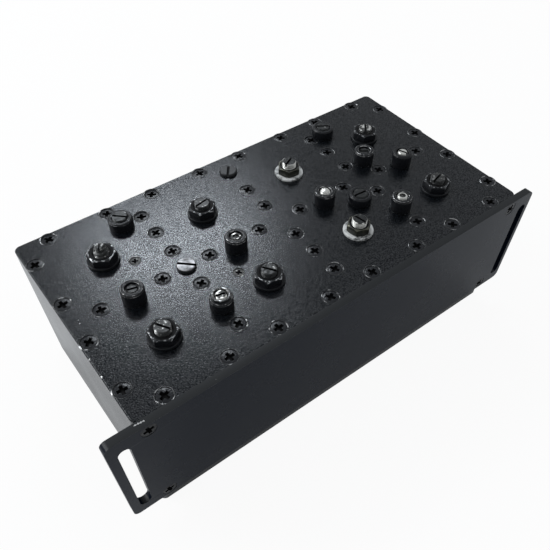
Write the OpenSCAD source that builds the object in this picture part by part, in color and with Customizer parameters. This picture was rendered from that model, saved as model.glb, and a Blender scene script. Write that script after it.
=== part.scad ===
// Eight-resonator cavity duplexer: a milled housing under a screwed lid, with
// tuning screws through the lid, a front panel with slotted ears and three
// coaxial jacks at the back. X runs along the length, Y from the front panel
// to the jacks and Z up. The origin is the middle of the housing's underside.

/* [Cavities] */
// Distance between neighbouring resonators along the length
cell_pitch = 43.4; // [42:0.1:50]
// Distance between the front and the rear row of resonators
row_pitch = 44.3; // [43:0.1:52]
// Left end of the housing to the first resonator
left_margin = 24.6; // [23:0.1:32]
// Last resonator to the right end of the housing
right_margin = 25.2; // [23:0.1:32]
// Front of the housing to the front row of resonators
front_margin = 22.9; // [21.5:0.1:30]
// Rear row of resonators to the rear of the housing
rear_margin = 25.8; // [24:0.1:34]
// Distance that a dividing wall stands past the middle of two resonators
wall_shift = 1.2; // [0:0.1:2]

/* [Housing] */
// Height of the milled housing, without its lid
housing_h = 56.5; // [50:0.5:75]
// Thickness of the floor
floor_t = 5; // [4.5:0.1:7]
// Thickness of the outer walls
outer_wall = 6.6; // [6.2:0.1:8]
// Thickness of the dividing walls
inner_wall = 7; // [6:0.1:8]
// Radius of the upright corners of housing and lid
corner_r = 2.5; // [1:0.1:4]
// Radius that the milling cutter leaves in the cavity corners
cutter_r = 4; // [2:0.1:5]
// Chamfer round the lid's top edge and the housing's bottom edge
edge_chamfer = 0.4; // [0.2:0.1:1]
// Width of the coupling windows in the dividing walls
window_w = 12; // [8:0.5:14]
// Height of the wall left below a coupling window
window_sill = 17; // [10:1:30]

/* [Lid] */
// Thickness of the lid
lid_t = 5; // [4.5:0.1:7]
// Diameter of the lid screws' threads
lid_screw_d = 3; // [2.5:0.1:3.5]
// Diameter of the lid screws' countersunk heads
lid_head_d = 5.8; // [5:0.1:6]
// Length of the lid screws
lid_screw_l = 12; // [10:0.5:16]
// Distance from the lid's edges to the screws that follow them
edge_inset = 3.3; // [3.2:0.1:4]
// Distance from the lid's corners to the first screw along each edge
corner_inset = 12.9; // [11:0.1:16]
// Distance of the paired lid screws from the wall between them
pair_offset = 10.1; // [9:0.1:11]
// Distance of the single wall screws behind their row of resonators
wall_screw_offset = 1.6; // [0:0.1:3]

/* [Resonators] */
// Height of a resonator above the floor
resonator_h = 44; // [30:0.5:46]
// Diameter of a resonator's post
post_d = 12; // [11:0.1:14]
// Diameter of a resonator's foot
foot_d = 16; // [15:0.1:20]
// Diameter of a resonator's top rim
rim_d = 15; // [14:0.1:17]
// Diameter of the bore that the tuning screw dips into
resonator_bore_d = 9; // [8:0.1:9.6]
// Thickness of a resonator's foot and of its top rim
rim_t = 1.6; // [1:0.1:3]
// Thickness of the web that a resonator is bolted through
web_t = 6; // [4:0.1:8]
// Diameter of the bolt that holds a resonator
post_bolt_d = 4; // [3:0.1:5]

/* [Tuning screws] */
// Diameter of the screws that tune the resonators and the ports
tuner_d = 6; // [5:0.1:6.4]
// Length of the screws that tune the resonators
tuner_l = 28; // [22:0.5:34]
// Length of the screws over the ports and the cross coupling
trimmer_l = 17; // [12:0.5:24]
// Diameter of the screws that tune the couplings
coupler_d = 4; // [3:0.1:4.5]
// Length of the screws that tune the couplings
coupler_l = 32; // [20:0.5:40]
// Length of the screw that trims the far end of the probe
probe_screw_l = 13; // [8:0.5:14]
// Width of the screwdriver slots
driver_slot_w = 0.9; // [0.6:0.1:1.2]
// Depth of the screwdriver slots
driver_slot_d = 1.3; // [0.8:0.1:2]
// Distance of a coupling screw in front of its dividing wall's middle
coupler_offset = 2.6; // [0:0.1:3]

/* [Nuts and bushes] */
// Width across the flats of the black lock nuts
nut_af = 9.8; // [9:0.1:10]
// Width across the flats of the bright lock nuts
bright_nut_af = 8.6; // [8:0.1:10]
// Height of the lock nuts
nut_h = 3.2; // [2.5:0.1:5]
// Diameter of the round nuts that stand on the lid without a washer
round_nut_d = 9.6; // [8.6:0.1:10]
// Height of the round nuts
round_nut_h = 3.9; // [3:0.1:5]
// Diameter of the washers
washer_d = 12; // [11.6:0.1:13]
// Thickness of the washers
washer_t = 1; // [0.6:0.1:1.6]
// Diameter of the threaded bushes that stand on the lid
bush_d = 8.6; // [7.6:0.1:9.4]
// Height of the bushes above the lid
bush_h = 6; // [4:0.1:8]
// Depth of the recess in the top of a bush
bush_recess = 1.2; // [0.5:0.1:2]
// Diameter of that recess
bush_mouth_d = 5.2; // [4.8:0.1:6]
// Diameter of a bush where it passes through the lid
bush_neck_d = 6; // [5.6:0.1:6.4]

/* [Cross couplings] */
// Distance of the loop's feet from the crossing of the walls, along each axis
loop_reach = 13.8; // [13:0.1:15]
// Diameter of the loop's feet
loop_foot_d = 4; // [3.6:0.1:5]
// Diameter of the loop and of the probe's rod
coupling_rod_d = 2.5; // [2:0.1:3]
// Distance of the loop below the lid
loop_drop = 6.5; // [5.5:0.1:10]
// Distance of the probe below the lid
probe_drop = 10.5; // [8:0.1:14]
// Distance of the probe's near end from the crossing of the walls
probe_near = 8.3; // [8:0.1:12]
// Distance of the probe's far end from the crossing of the walls
probe_far = 10.5; // [8:0.1:12]
// Diameter of the discs at the probe's ends
probe_disc_d = 7; // [5:0.1:8]
// Width of the slot that passes the rods through a crossing of walls
crossing_slot_w = 6; // [5:0.1:6.5]
// Diameter of the small screws that hold the loop
loop_screw_d = 2; // [2:0.1:2.5]
// Diameter of the small screws' heads
loop_screw_head_d = 4; // [3.6:0.1:4.6]
// Diameter of the slotted screws' heads
cheese_head_d = 7.4; // [6.6:0.1:8.4]
// Height of the slotted screws' heads
cheese_head_h = 1.4; // [1.2:0.1:2.6]
// Diameter of the slotted screws' threads
cheese_screw_d = 4; // [3:0.1:4.5]
// Distance from the lid's rear edge to the slotted screw over the antenna tee
tee_screw_inset = 10.2; // [9.4:0.1:13]

/* [Ports] */
// Distance between neighbouring jacks
jack_pitch = 52; // [46:0.5:54]
// Height of the jacks' axes above the underside
jack_z = 30; // [24:0.5:34]
// Width of a jack's square flange
flange_w = 25.4; // [24:0.1:26]
// Thickness of a jack's flange
flange_t = 2.4; // [1.5:0.1:3.5]
// Distance of the flange screws from each other
flange_pitch = 18.26; // [17:0.01:19]
// Diameter over the jack's coupling thread
jack_thread_d = 15.88; // [15.6:0.01:16]
// Length that a jack stands out from its flange
jack_l = 16.2; // [14:0.1:20]
// Length of the plain neck between flange and thread
jack_neck_l = 3; // [1.5:0.1:5]
// Diameter of the jack's mouth
jack_mouth_d = 8.1; // [8:0.01:8.8]
// Depth of the jack's mouth down to its insulator
jack_mouth_l = 9.2; // [8:0.1:11]
// Diameter of the jack's spigot in the rear wall
spigot_d = 11; // [9.5:0.1:12]
// Diameter of the jack's insulator
insulator_d = 7; // [6:0.1:7.6]
// Diameter of the centre contact
contact_d = 3; // [2.6:0.1:3.2]
// Diameter of the hole in the centre contact
socket_d = 1.7; // [1.5:0.01:2]
// Diameter of the wires between the jacks and the resonators
tap_d = 2.4; // [1.6:0.1:2.6]
// Distance of the port screws from the lid's rear edge
port_screw_inset = 12.6; // [12:0.1:15]
// Distance of the transmit port's screw from its dividing wall
transmit_screw_offset = 8.5; // [7:0.1:10]
// Distance of the receive port's screw from its dividing wall
receive_screw_offset = 6.8; // [6.8:0.1:10]

/* [Front panel] */
// Thickness of the front panel
panel_t = 3.2; // [2:0.1:5]
// Height of the front panel
panel_h = 51.7; // [44:0.1:52]
// Distance of the front panel's top edge above the lid
panel_rise = 0.7; // [0:0.1:1.5]
// Length of the left ear
left_ear = 11.5; // [10:0.1:20]
// Length of the right ear
right_ear = 6.8; // [6.8:0.1:20]
// Radius of the front panel's corners
panel_corner_r = 2.5; // [1:0.1:4]
// Width of the mounting slots
slot_w = 4.5; // [4.3:0.1:5.5]
// Length of the mounting slots
slot_l = 41.6; // [30:0.1:42]
// Distance of the slots above the front panel's lower edge
slot_rise = 4.4; // [3:0.1:6]
// Distance of the left slot from the left edge
left_slot_edge = 3.3; // [2:0.1:4]
// Distance of the right slot from the right edge
right_slot_edge = 2; // [1.5:0.1:2]
// Distance of the left panel screws from the housing's end
panel_screw_left = 3.3; // [3.2:0.1:8]
// Distance of the right panel screws from the housing's end
panel_screw_right = 6.8; // [3.2:0.1:8]
// Height of the lower panel screws above the front panel's lower edge
panel_screw_rise = 3.1; // [3:0.1:8]

/* [Hidden] */
// Radial clearance of a screw in its thread, of a neck in its hole and so on
fit_gap = 0.06;
// Depth that a countersunk head lies below its surface
sink = 0.15;
// Overlap of a cutting body past the face that it opens
cut = 1;
// Chamfer on the ends of rods, nuts and bushes
small_chamfer = 0.5;
// Height of each tuning screw's end above the lid, first to last resonator
tuner_rise = [7.6, 6, 5.7, 5.6, 6.3, 6.2, 5.9, 5.2];
// Turn of each tuning screw's slot from the X axis
tuner_turn = [60, 121, 123, 10, 25, 101, 15, 49];
// Turn of each lock nut, first to last resonator
nut_turn = [30, 28, 48, 50, 52, 38, 20, 45];
// Height of each coupling screw's end above the lid
coupler_rise = [5.5, 6, 5.7, 6.6, 6.3, 6.2];
// Turn of each coupling screw's slot
coupler_turn = [165, 167, 60, 100, 30, 113];
// Height and turn of the port screws: transmit, receive
port_rise = [4.5, 4.3];
port_turn = [137, 147];
// Height and turn of the probe's screws: near end, far end
probe_rise = [5.3, 4.1];
probe_turn = [144, 175];
// Turn of the slotted screws
cheese_turn = [137, 52];
// Width of the cross recess in a countersunk head, as a share of the head
recess_share = 0.56;
// Width of a bolt's hexagon socket across its corners, as a share of its thread
socket_share = 0.87;
// Depth of a blind hole past the tip of its screw
hole_spare = 0.6;
// Wall left between a screw's tip and the cavity behind it
wall_rest = 1.5;
// Length of thread below the floor's surface, below the lid in the loop and
// below the lid on the slotted screws
bolt_bite = 3;
loop_bite = 4;
cheese_reach = 3;
// Diameter of a hexagon nut's flat top, as a share of its width across the flats
nut_top_share = 0.9;
// Slope of the chamfers on a hexagon nut, in degrees
nut_slope = 30;
// Radial clearance of a washer round its screw and of a flange round its screws
washer_gap = 0.2;
flange_gap = 0.15;
// Gap that solder fills between a wire and its resonator
solder_gap = 0.1;
// Length of a centre contact inside the rear wall
contact_stub = 3;
// Distance of a port's wire from the rim of the resonator that it passes
tap_clearance = 3.5;
// Distance of the antenna tee's hub from the rear wall, and its diameter
tee_reach = 7;
hub_d = 5;
// Depth of the antenna junction below the windows' sills
junction_drop = 6;
// Wall left between the antenna junction and the nearest lid screw
junction_wall = 3;
// Depth of a contact's tip below the jack's mouth, and of its socket
contact_recess = 2.4;
socket_l = 6;
// Width of the slits that divide a contact's socket into fingers
socket_slit = 0.3;
// Height of the flange screws' heads
flange_head_h = 2;
// Step from a jack's neck to its thread
neck_step = 1;
$fn = 64;

body_l = left_margin + 3 * cell_pitch + right_margin;
body_w = front_margin + row_pitch + rear_margin;
top_z = housing_h + lid_t;
wall_y = front_margin + row_pitch / 2 + wall_shift;
panel_z = top_z + panel_rise - panel_h;
inner_rear = body_w - outer_wall;
thread_depth = lid_screw_l - lid_t + hole_spare;
panel_screw_l = panel_t + outer_wall - wall_rest;
flange_screw_l = flange_t + outer_wall - wall_rest;
contact_in = inner_rear - contact_stub;
tee_y = inner_rear - tee_reach;
junction_y = wall_x_screw_y() + lid_screw_d / 2 + junction_wall;
jack_tip = body_w + flange_t + jack_l;
loop_z = housing_h - loop_drop;
probe_z = housing_h - probe_drop;

function col_x(i) = left_margin + i * cell_pitch;
function row_y(j) = front_margin + j * row_pitch;
function wall_x(i) = col_x(i) + cell_pitch / 2 + wall_shift;
function wall_x_screw_y() = row_y(1) + wall_screw_offset;
// The signal path goes back, front, front, back in each half of the housing
function resonator_at(n) = [col_x(floor(n / 2)), row_y((n % 4 == 0 || n % 4 == 3) ? 1 : 0)];
// Coupling k joins resonator n to the next: three in each half
function coupling_first(k) = k < 3 ? k : k + 1;
function coupling_at(k) = let (n = coupling_first(k), c = floor(n / 2))
    n % 2 == 0 ? [col_x(c), wall_y - coupler_offset] : [wall_x(c), row_y(0)];
function jack_x(i) = wall_x(1) + (i - 1) * jack_pitch;

port_spots = [
    [wall_x(0) - transmit_screw_offset, body_w - port_screw_inset],
    [wall_x(2) + receive_screw_offset, body_w - port_screw_inset]];
probe_spots = [
    [wall_x(2) + probe_near, wall_y + probe_near],
    [wall_x(2) - probe_far, wall_y - probe_far]];
loop_spots = [
    [wall_x(0) - loop_reach, wall_y + loop_reach],
    [wall_x(0) + loop_reach, wall_y - loop_reach]];
cheese_spots = [[wall_x(0), wall_y], [wall_x(1), body_w - tee_screw_inset]];
tuner_spots = [for (n = [0:7]) resonator_at(n)];
coupler_spots = [for (k = [0:5]) coupling_at(k)];
bright = [4, 5];
dark = [0, 1, 2, 3, 6, 7];
bush_spots = concat(coupler_spots, [probe_spots[0]]);
round_nut_spots = concat(port_spots, [probe_spots[1]]);
screw_xs = concat([corner_inset],
    [for (i = [0:2], s = [-1, 1]) wall_x(i) + s * pair_offset], [body_l - corner_inset]);
screw_ys = [corner_inset, wall_y - pair_offset, wall_y + pair_offset, body_w - corner_inset];
lid_screw_spots = concat(
    [for (y = [edge_inset, wall_y, body_w - edge_inset], x = screw_xs) [x, y]],
    [for (x = [edge_inset, body_l - edge_inset], y = screw_ys) [x, y]],
    [for (i = [0:2], j = [0:3]) if (!(i == 1 && j == 3)) [wall_x(i), screw_ys[j]]],
    [for (i = [0:2]) [wall_x(i), wall_x_screw_y()]],
    [[wall_x(1), row_y(0) + wall_screw_offset]]);
panel_screw_spots = [for (x = [panel_screw_left, body_l - panel_screw_right],
    z = [panel_z + panel_screw_rise, housing_h + lid_t / 2]) [x, z]];
flange_spots = [for (i = [0:2], x = [-1, 1], z = [-1, 1])
    [jack_x(i) + x * flange_pitch / 2, jack_z + z * flange_pitch / 2]];

// Moves from the housing's left front corner to the part's own origin
module place() {
    translate([-body_l / 2, -body_w / 2, 0]) children();
}

// Puts a child at each plan position
module at(spots, z = 0) {
    for (s = spots) translate([s[0], s[1], z]) children();
}

// Turns a child's Z axis to the rear, at x, z on the plane y
module rearward(x, y, z) {
    translate([x, y, z]) rotate([-90, 0, 0]) children();
}

// Rectangle with round corners
module round_rect(l, w, r) {
    translate([r, 0]) square([l - 2 * r, w]);
    translate([0, r]) square([l, w - 2 * r]);
    for (x = [r, l - r], y = [r, w - r]) translate([x, y]) circle(r);
}

// Side view of a block whose top edge is chamfered
module chamfered_side(l, h, c) {
    polygon([[0, 0], [l, 0], [l, h - c], [l - c, h], [c, h], [0, h - c]]);
}

// Block with round upright corners and a chamfer round its top
module plate(l, w, h, r, c) {
    translate([0, w - r, 0]) rotate([90, 0, 0]) linear_extrude(w - 2 * r) chamfered_side(l, h, c);
    translate([r, 0, 0]) rotate([90, 0, 90]) linear_extrude(l - 2 * r) chamfered_side(w, h, c);
    for (x = [r, l - r], y = [r, w - r]) translate([x, y, 0])
        rotate_extrude() polygon([[0, 0], [r, 0], [r, h - c], [r - c, h], [0, h]]);
}

// Straight rod between two points
module rod(a, b, d) {
    v = b - a;
    translate(a) rotate([0, acos(v[2] / norm(v)), atan2(v[1], v[0])]) cylinder(d = d, h = norm(v));
}

// Screwdriver slot across the top of a head at z = 0
module driver_slot(d) {
    translate([-d, -driver_slot_w / 2, -driver_slot_d]) cube([2 * d, driver_slot_w, driver_slot_d + cut]);
}

// Slotted rod with chamfered ends that hangs from z = 0
module adjuster(d, l, turn) {
    c = small_chamfer;
    rotate([0, 0, turn]) difference() {
        rotate_extrude() polygon([[0, 0], [d / 2 - c, 0], [d / 2, -c], [d / 2, c - l], [d / 2 - c, -l], [0, -l]]);
        driver_slot(d);
    }
}

// Countersunk screw whose head lies just below z = 0
module countersunk_screw(d, head_d, l) {
    h = (head_d - d) / 2;
    across = head_d * recess_share;
    arm = across / 4;
    depth = h * 0.8;
    translate([0, 0, -sink]) difference() {
        union() {
            translate([0, 0, -h]) cylinder(d1 = d, d2 = head_d, h = h);
            translate([0, 0, -l]) cylinder(d = d, h = l - h);
        }
        for (a = [45, 135]) rotate([0, 0, a]) translate([-across / 2, -arm / 2, -depth])
            cube([across, arm, depth + cut]);
    }
}

// Hole and countersink for such a screw, opening at z = 0
module countersink(d, head_d, depth) {
    h = (head_d - d) / 2;
    translate([0, 0, -depth - cut]) cylinder(d = d + 2 * fit_gap, h = depth + 2 * cut);
    translate([0, 0, -h - sink]) cylinder(d1 = d + 2 * fit_gap, d2 = head_d + 2 * fit_gap, h = h);
    translate([0, 0, -sink]) cylinder(d = head_d + 2 * fit_gap, h = sink + cut);
}

// Cheese-head or pan-head screw seated on z = 0
module headed_screw(d, head_d, head_h, l, turn) {
    c = small_chamfer;
    rotate([0, 0, turn]) difference() {
        rotate_extrude() polygon([[0, -l], [d / 2, -l], [d / 2, 0], [head_d / 2, 0],
            [head_d / 2, head_h - c], [head_d / 2 - c, head_h], [0, head_h]]);
        translate([-head_d, -driver_slot_w / 2, head_h / 3]) cube([2 * head_d, driver_slot_w, head_h]);
    }
}

// Hexagon nut with both rims chamfered, standing on z = 0
module hex_nut(af) {
    tip_r = af / 2 / cos(30);
    top_r = af / 2 * nut_top_share;
    low = (tip_r - af / 2) * tan(nut_slope);
    high = nut_h - (tip_r - top_r) * tan(nut_slope);
    difference() {
        intersection() {
            cylinder(r = tip_r, h = nut_h, $fn = 6);
            rotate_extrude() polygon([[0, 0], [af / 2, 0], [tip_r, low], [tip_r, high],
                [top_r, nut_h], [0, nut_h]]);
        }
        translate([0, 0, -cut]) cylinder(d = tuner_d + 2 * fit_gap, h = nut_h + 2 * cut);
    }
}

// Round nut with a chamfered top, standing on z = 0
module round_nut() {
    bore_r = tuner_d / 2 + fit_gap;
    r = round_nut_d / 2;
    rotate_extrude() polygon([[bore_r, 0], [r, 0], [r, round_nut_h - small_chamfer],
        [r - small_chamfer, round_nut_h], [bore_r, round_nut_h]]);
}

module washer() {
    difference() {
        cylinder(d = washer_d, h = washer_t);
        translate([0, 0, -cut]) cylinder(d = tuner_d + 2 * washer_gap, h = washer_t + 2 * cut);
    }
}

// Threaded bush: a collar on the lid and a neck through it
module bush() {
    bore_r = coupler_d / 2 + fit_gap;
    neck_r = bush_neck_d / 2;
    mouth_r = bush_mouth_d / 2;
    collar_r = bush_d / 2;
    rotate_extrude() polygon([
        [bore_r, -lid_t], [neck_r, -lid_t], [neck_r, 0], [collar_r, 0],
        [collar_r, bush_h - small_chamfer], [collar_r - small_chamfer, bush_h],
        [mouth_r, bush_h], [mouth_r, bush_h - bush_recess], [bore_r, bush_h - bush_recess]]);
}

// Slot through the crossing of two walls, along the diagonal that s points to
module crossing_slot(i, s, z) {
    reach = inner_wall + cutter_r;
    translate([wall_x(i), wall_y, z]) rotate([0, 0, s * 45])
        translate([-reach, -crossing_slot_w / 2, 0]) cube([2 * reach, crossing_slot_w, housing_h]);
}

// The eight cavities, each bounded by the walls round it
module cavities() {
    xs = [outer_wall, for (i = [0:2]) wall_x(i) + inner_wall / 2];
    xe = [for (i = [0:2]) wall_x(i) - inner_wall / 2, body_l - outer_wall];
    ys = [outer_wall, wall_y + inner_wall / 2];
    ye = [wall_y - inner_wall / 2, inner_rear];
    for (i = [0:3], j = [0:1]) translate([xs[i], ys[j], floor_t])
        linear_extrude(housing_h) round_rect(xe[i] - xs[i], ye[j] - ys[j], cutter_r);
}

// Windows between neighbouring resonators and the antenna junction
module windows() {
    depth = inner_wall + 2 * cutter_r;
    z = floor_t + window_sill;
    for (c = [0:3]) translate([col_x(c) - window_w / 2, wall_y - depth / 2, z])
        cube([window_w, depth, housing_h]);
    for (i = [0, 2]) translate([wall_x(i) - depth / 2, row_y(0) - window_w / 2, z])
        cube([depth, window_w, housing_h]);
    translate([wall_x(1) - depth / 2, junction_y, z - junction_drop])
        cube([depth, inner_rear - junction_y, housing_h]);
}

module housing() {
    color("#232527") place() difference() {
        translate([0, body_w, housing_h]) rotate([180, 0, 0])
            plate(body_l, body_w, housing_h, corner_r, edge_chamfer);
        cavities();
        windows();
        crossing_slot(0, -1, loop_z - coupling_rod_d);
        crossing_slot(2, 1, probe_z - coupling_rod_d);
        at(lid_screw_spots, housing_h - thread_depth)
            cylinder(d = lid_screw_d + 2 * fit_gap, h = thread_depth + cut);
        at(tuner_spots, floor_t - bolt_bite - hole_spare)
            cylinder(d = post_bolt_d + 2 * fit_gap, h = bolt_bite + hole_spare + cut);
        for (s = panel_screw_spots) if (s[1] < housing_h) rearward(s[0], -cut, s[1])
            cylinder(d = lid_screw_d + 2 * fit_gap, h = panel_screw_l - panel_t + hole_spare + cut);
        for (i = [0:2]) rearward(jack_x(i), inner_rear - cut, jack_z)
            cylinder(d = spigot_d + 2 * fit_gap, h = outer_wall + 2 * cut);
        for (s = flange_spots) rearward(s[0], body_w - flange_screw_l + flange_t - hole_spare, s[1])
            cylinder(d = lid_screw_d + 2 * fit_gap, h = flange_screw_l);
    }
}

module lid() {
    color("#232527") place() difference() {
        translate([0, 0, housing_h]) plate(body_l, body_w, lid_t, corner_r, edge_chamfer);
        at(lid_screw_spots, top_z) countersink(lid_screw_d, lid_head_d, lid_t);
        at(loop_spots, top_z) countersink(loop_screw_d, loop_screw_head_d, lid_t);
        at(concat(tuner_spots, round_nut_spots), housing_h - cut)
            cylinder(d = tuner_d + 2 * fit_gap, h = lid_t + 2 * cut);
        at(bush_spots, housing_h - cut) cylinder(d = bush_neck_d + 2 * fit_gap, h = lid_t + 2 * cut);
        at(cheese_spots, housing_h - cut) cylinder(d = cheese_screw_d + 2 * fit_gap, h = lid_t + 2 * cut);
        for (s = panel_screw_spots) if (s[1] > housing_h) rearward(s[0], -cut, s[1])
            cylinder(d = lid_screw_d + 2 * fit_gap, h = panel_screw_l - panel_t + hole_spare + cut);
    }
}

// Round-ended slot, as an outline from its lower left
module slot_outline() {
    r = slot_w / 2;
    translate([0, r]) square([slot_w, slot_l - slot_w]);
    for (z = [r, slot_l - r]) translate([r, z]) circle(r);
}

module front_panel() {
    panel_l = left_ear + body_l + right_ear;
    color("#26282b") place() difference() {
        rotate([90, 0, 0]) linear_extrude(panel_t) difference() {
            translate([-left_ear, panel_z]) round_rect(panel_l, panel_h, panel_corner_r);
            translate([left_slot_edge - left_ear, panel_z + slot_rise]) slot_outline();
            translate([body_l + right_ear - right_slot_edge - slot_w, panel_z + slot_rise]) slot_outline();
        }
        for (s = panel_screw_spots) translate([s[0], -panel_t, s[1]]) rotate([90, 0, 0])
            countersink(lid_screw_d, lid_head_d, panel_t);
    }
}

module lid_screws() {
    color("#1b1c1e") place() at(lid_screw_spots, top_z)
        countersunk_screw(lid_screw_d, lid_head_d, lid_screw_l);
}

module panel_screws() {
    color("#1b1c1e") place() for (s = panel_screw_spots) translate([s[0], -panel_t, s[1]])
        rotate([90, 0, 0]) countersunk_screw(lid_screw_d, lid_head_d, panel_screw_l);
}

module loop_screws() {
    color("#3a3c3f") place() at(loop_spots, top_z)
        countersunk_screw(loop_screw_d, loop_screw_head_d, lid_t + loop_bite);
}

module slotted_screws() {
    color("#2a2b2d") place() for (i = [0, 1]) translate([cheese_spots[i][0], cheese_spots[i][1], top_z])
        headed_screw(cheese_screw_d, cheese_head_d, cheese_head_h, lid_t + cheese_reach, cheese_turn[i]);
}

module lock_nuts() {
    color("#1f2022") place() {
        for (n = dark) translate([tuner_spots[n][0], tuner_spots[n][1], top_z + washer_t])
            rotate([0, 0, nut_turn[n]]) hex_nut(nut_af);
        at(round_nut_spots, top_z) round_nut();
    }
}

module washers() {
    color("#1f2022") place() at([for (n = dark) tuner_spots[n]], top_z) washer();
}

module bright_nuts() {
    color("#c9ccce") place() for (n = bright)
        translate([tuner_spots[n][0], tuner_spots[n][1], top_z + washer_t])
        rotate([0, 0, nut_turn[n]]) hex_nut(bright_nut_af);
}

module bright_washers() {
    color("#d4d6d8") place() at([for (n = bright) tuner_spots[n]], top_z) washer();
}

module coupling_bushes() {
    color("#1f2022") place() at(bush_spots, top_z) bush();
}

module tuning_screw(n) {
    color("#3a3b3d") place() translate([tuner_spots[n][0], tuner_spots[n][1], top_z + tuner_rise[n]])
        adjuster(tuner_d, tuner_l, tuner_turn[n]);
}

module coupling_screw(k) {
    color("#77797b") place() translate([coupler_spots[k][0], coupler_spots[k][1], top_z + coupler_rise[k]])
        adjuster(coupler_d, coupler_l, coupler_turn[k]);
}

module port_screw(i) {
    color("#3a3b3d") place() translate([port_spots[i][0], port_spots[i][1], top_z + port_rise[i]])
        adjuster(tuner_d, trimmer_l, port_turn[i]);
}

module probe_screw(i) {
    d = i == 0 ? coupler_d : tuner_d;
    color("#3a3b3d") place() translate([probe_spots[i][0], probe_spots[i][1], top_z + probe_rise[i]])
        adjuster(d, probe_screw_l, probe_turn[i]);
}

// Hollow post with a foot, a rim and a web that its bolt passes through
module resonator(n) {
    color("#c8ccd0") place() translate([tuner_spots[n][0], tuner_spots[n][1], floor_t])
        rotate_extrude() polygon([
            [post_bolt_d / 2 + fit_gap, 0], [foot_d / 2, 0], [foot_d / 2, rim_t], [post_d / 2, rim_t],
            [post_d / 2, resonator_h - rim_t], [rim_d / 2, resonator_h - rim_t], [rim_d / 2, resonator_h],
            [resonator_bore_d / 2, resonator_h], [resonator_bore_d / 2, web_t],
            [post_bolt_d / 2 + fit_gap, web_t]]);
}

module resonator_bolts() {
    head_d = post_bolt_d * 1.75;
    head_h = post_bolt_d;
    color("#8d9093") place() at(tuner_spots, floor_t + web_t) difference() {
        rotate_extrude() polygon([[0, -web_t - bolt_bite], [post_bolt_d / 2, -web_t - bolt_bite],
            [post_bolt_d / 2, 0], [head_d / 2, 0], [head_d / 2, head_h], [0, head_h]]);
        translate([0, 0, head_h / 2]) cylinder(d = post_bolt_d * socket_share, h = head_h, $fn = 6);
    }
}

// Wire from a port's contact along the rear wall to the back of its resonator
module tap(i, n) {
    post = tuner_spots[n];
    bend_y = post[1] + rim_d / 2 + tap_clearance;
    start = [jack_x(i), contact_in - fit_gap, jack_z];
    bends = [[jack_x(i), bend_y, jack_z], [post[0], bend_y, jack_z]];
    color("#d8b25a") place() {
        rod(start, bends[0], tap_d);
        rod(bends[0], bends[1], tap_d);
        rod(bends[1], [post[0], post[1] + post_d / 2 + solder_gap, jack_z], tap_d);
        for (b = bends) translate(b) sphere(d = tap_d);
    }
}

// Tee from the antenna contact to the two rear resonators beside it
module antenna_tee() {
    hub = [jack_x(1), tee_y, jack_z];
    color("#d8b25a") place() {
        rod([jack_x(1), contact_in - fit_gap, jack_z], hub, tap_d);
        translate([hub[0], hub[1], jack_z - tap_d]) cylinder(d = hub_d, h = 2 * tap_d);
        for (n = [3, 4]) {
            post = [tuner_spots[n][0], tuner_spots[n][1], jack_z];
            along = (hub - post) / norm(hub - post);
            rod(hub, post + along * (post_d / 2 + solder_gap), tap_d);
        }
    }
}

// Grounded loop that hangs from the lid by two feet and crosses the walls
module cross_loop() {
    ends = [for (s = loop_spots) [s[0], s[1], loop_z]];
    color("#d8b25a") place() {
        difference() {
            union() {
                at(loop_spots, loop_z - coupling_rod_d / 2)
                    cylinder(d = loop_foot_d, h = housing_h - fit_gap - loop_z + coupling_rod_d / 2);
                rod(ends[0], ends[1], coupling_rod_d);
            }
            at(loop_spots, housing_h - loop_bite - hole_spare)
                cylinder(d = loop_screw_d + 2 * fit_gap, h = loop_bite + hole_spare + cut);
        }
    }
}

// Floating rod with a disc at each end
module cross_probe() {
    ends = [for (s = probe_spots) [s[0], s[1], probe_z]];
    color("#d8b25a") place() {
        rod(ends[0], ends[1], coupling_rod_d);
        at(probe_spots, probe_z - rim_t / 2) cylinder(d = probe_disc_d, h = rim_t);
    }
}

// Insulating block in the crossing that carries the floating rod
module probe_holder() {
    w = crossing_slot_w - 2 * fit_gap;
    l = inner_wall * 1.3;
    z0 = probe_z - coupling_rod_d + fit_gap;
    ends = [for (s = probe_spots) [s[0], s[1], probe_z]];
    color("#f4f4f0") place() difference() {
        translate([wall_x(2), wall_y, z0]) rotate([0, 0, 45]) translate([-l / 2, -w / 2, 0])
            cube([l, w, housing_h - fit_gap - z0]);
        rod(ends[0], ends[1], coupling_rod_d + 2 * fit_gap);
    }
}

// Flange, threaded barrel and spigot of a jack, as one turned and milled piece
module jack(i) {
    thread_r = jack_thread_d / 2;
    neck_r = thread_r - neck_step;
    neck_end = flange_t + jack_neck_l;
    tip = flange_t + jack_l;
    mouth_r = jack_mouth_d / 2;
    hole_r = insulator_d / 2 + fit_gap;
    c = small_chamfer;
    color("#d9d7cf") place() rearward(jack_x(i), body_w, jack_z) {
        difference() {
            translate([-flange_w / 2, -flange_w / 2, 0]) linear_extrude(flange_t)
                round_rect(flange_w, flange_w, corner_r);
            translate([0, 0, -cut]) cylinder(r = hole_r, h = flange_t + 2 * cut);
            for (x = [-1, 1], y = [-1, 1]) translate([x, y, 0] * flange_pitch / 2 - [0, 0, cut])
                cylinder(d = lid_screw_d + 2 * flange_gap, h = flange_t + 2 * cut);
        }
        rotate_extrude() polygon([[hole_r, -outer_wall], [spigot_d / 2, -outer_wall], [spigot_d / 2, 0],
            [neck_r, flange_t / 2], [neck_r, neck_end], [thread_r, neck_end + neck_step], [thread_r, tip - c],
            [thread_r - c, tip], [mouth_r + c, tip], [mouth_r, tip - c], [mouth_r, tip - jack_mouth_l],
            [hole_r, tip - jack_mouth_l]]);
    }
}

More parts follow.
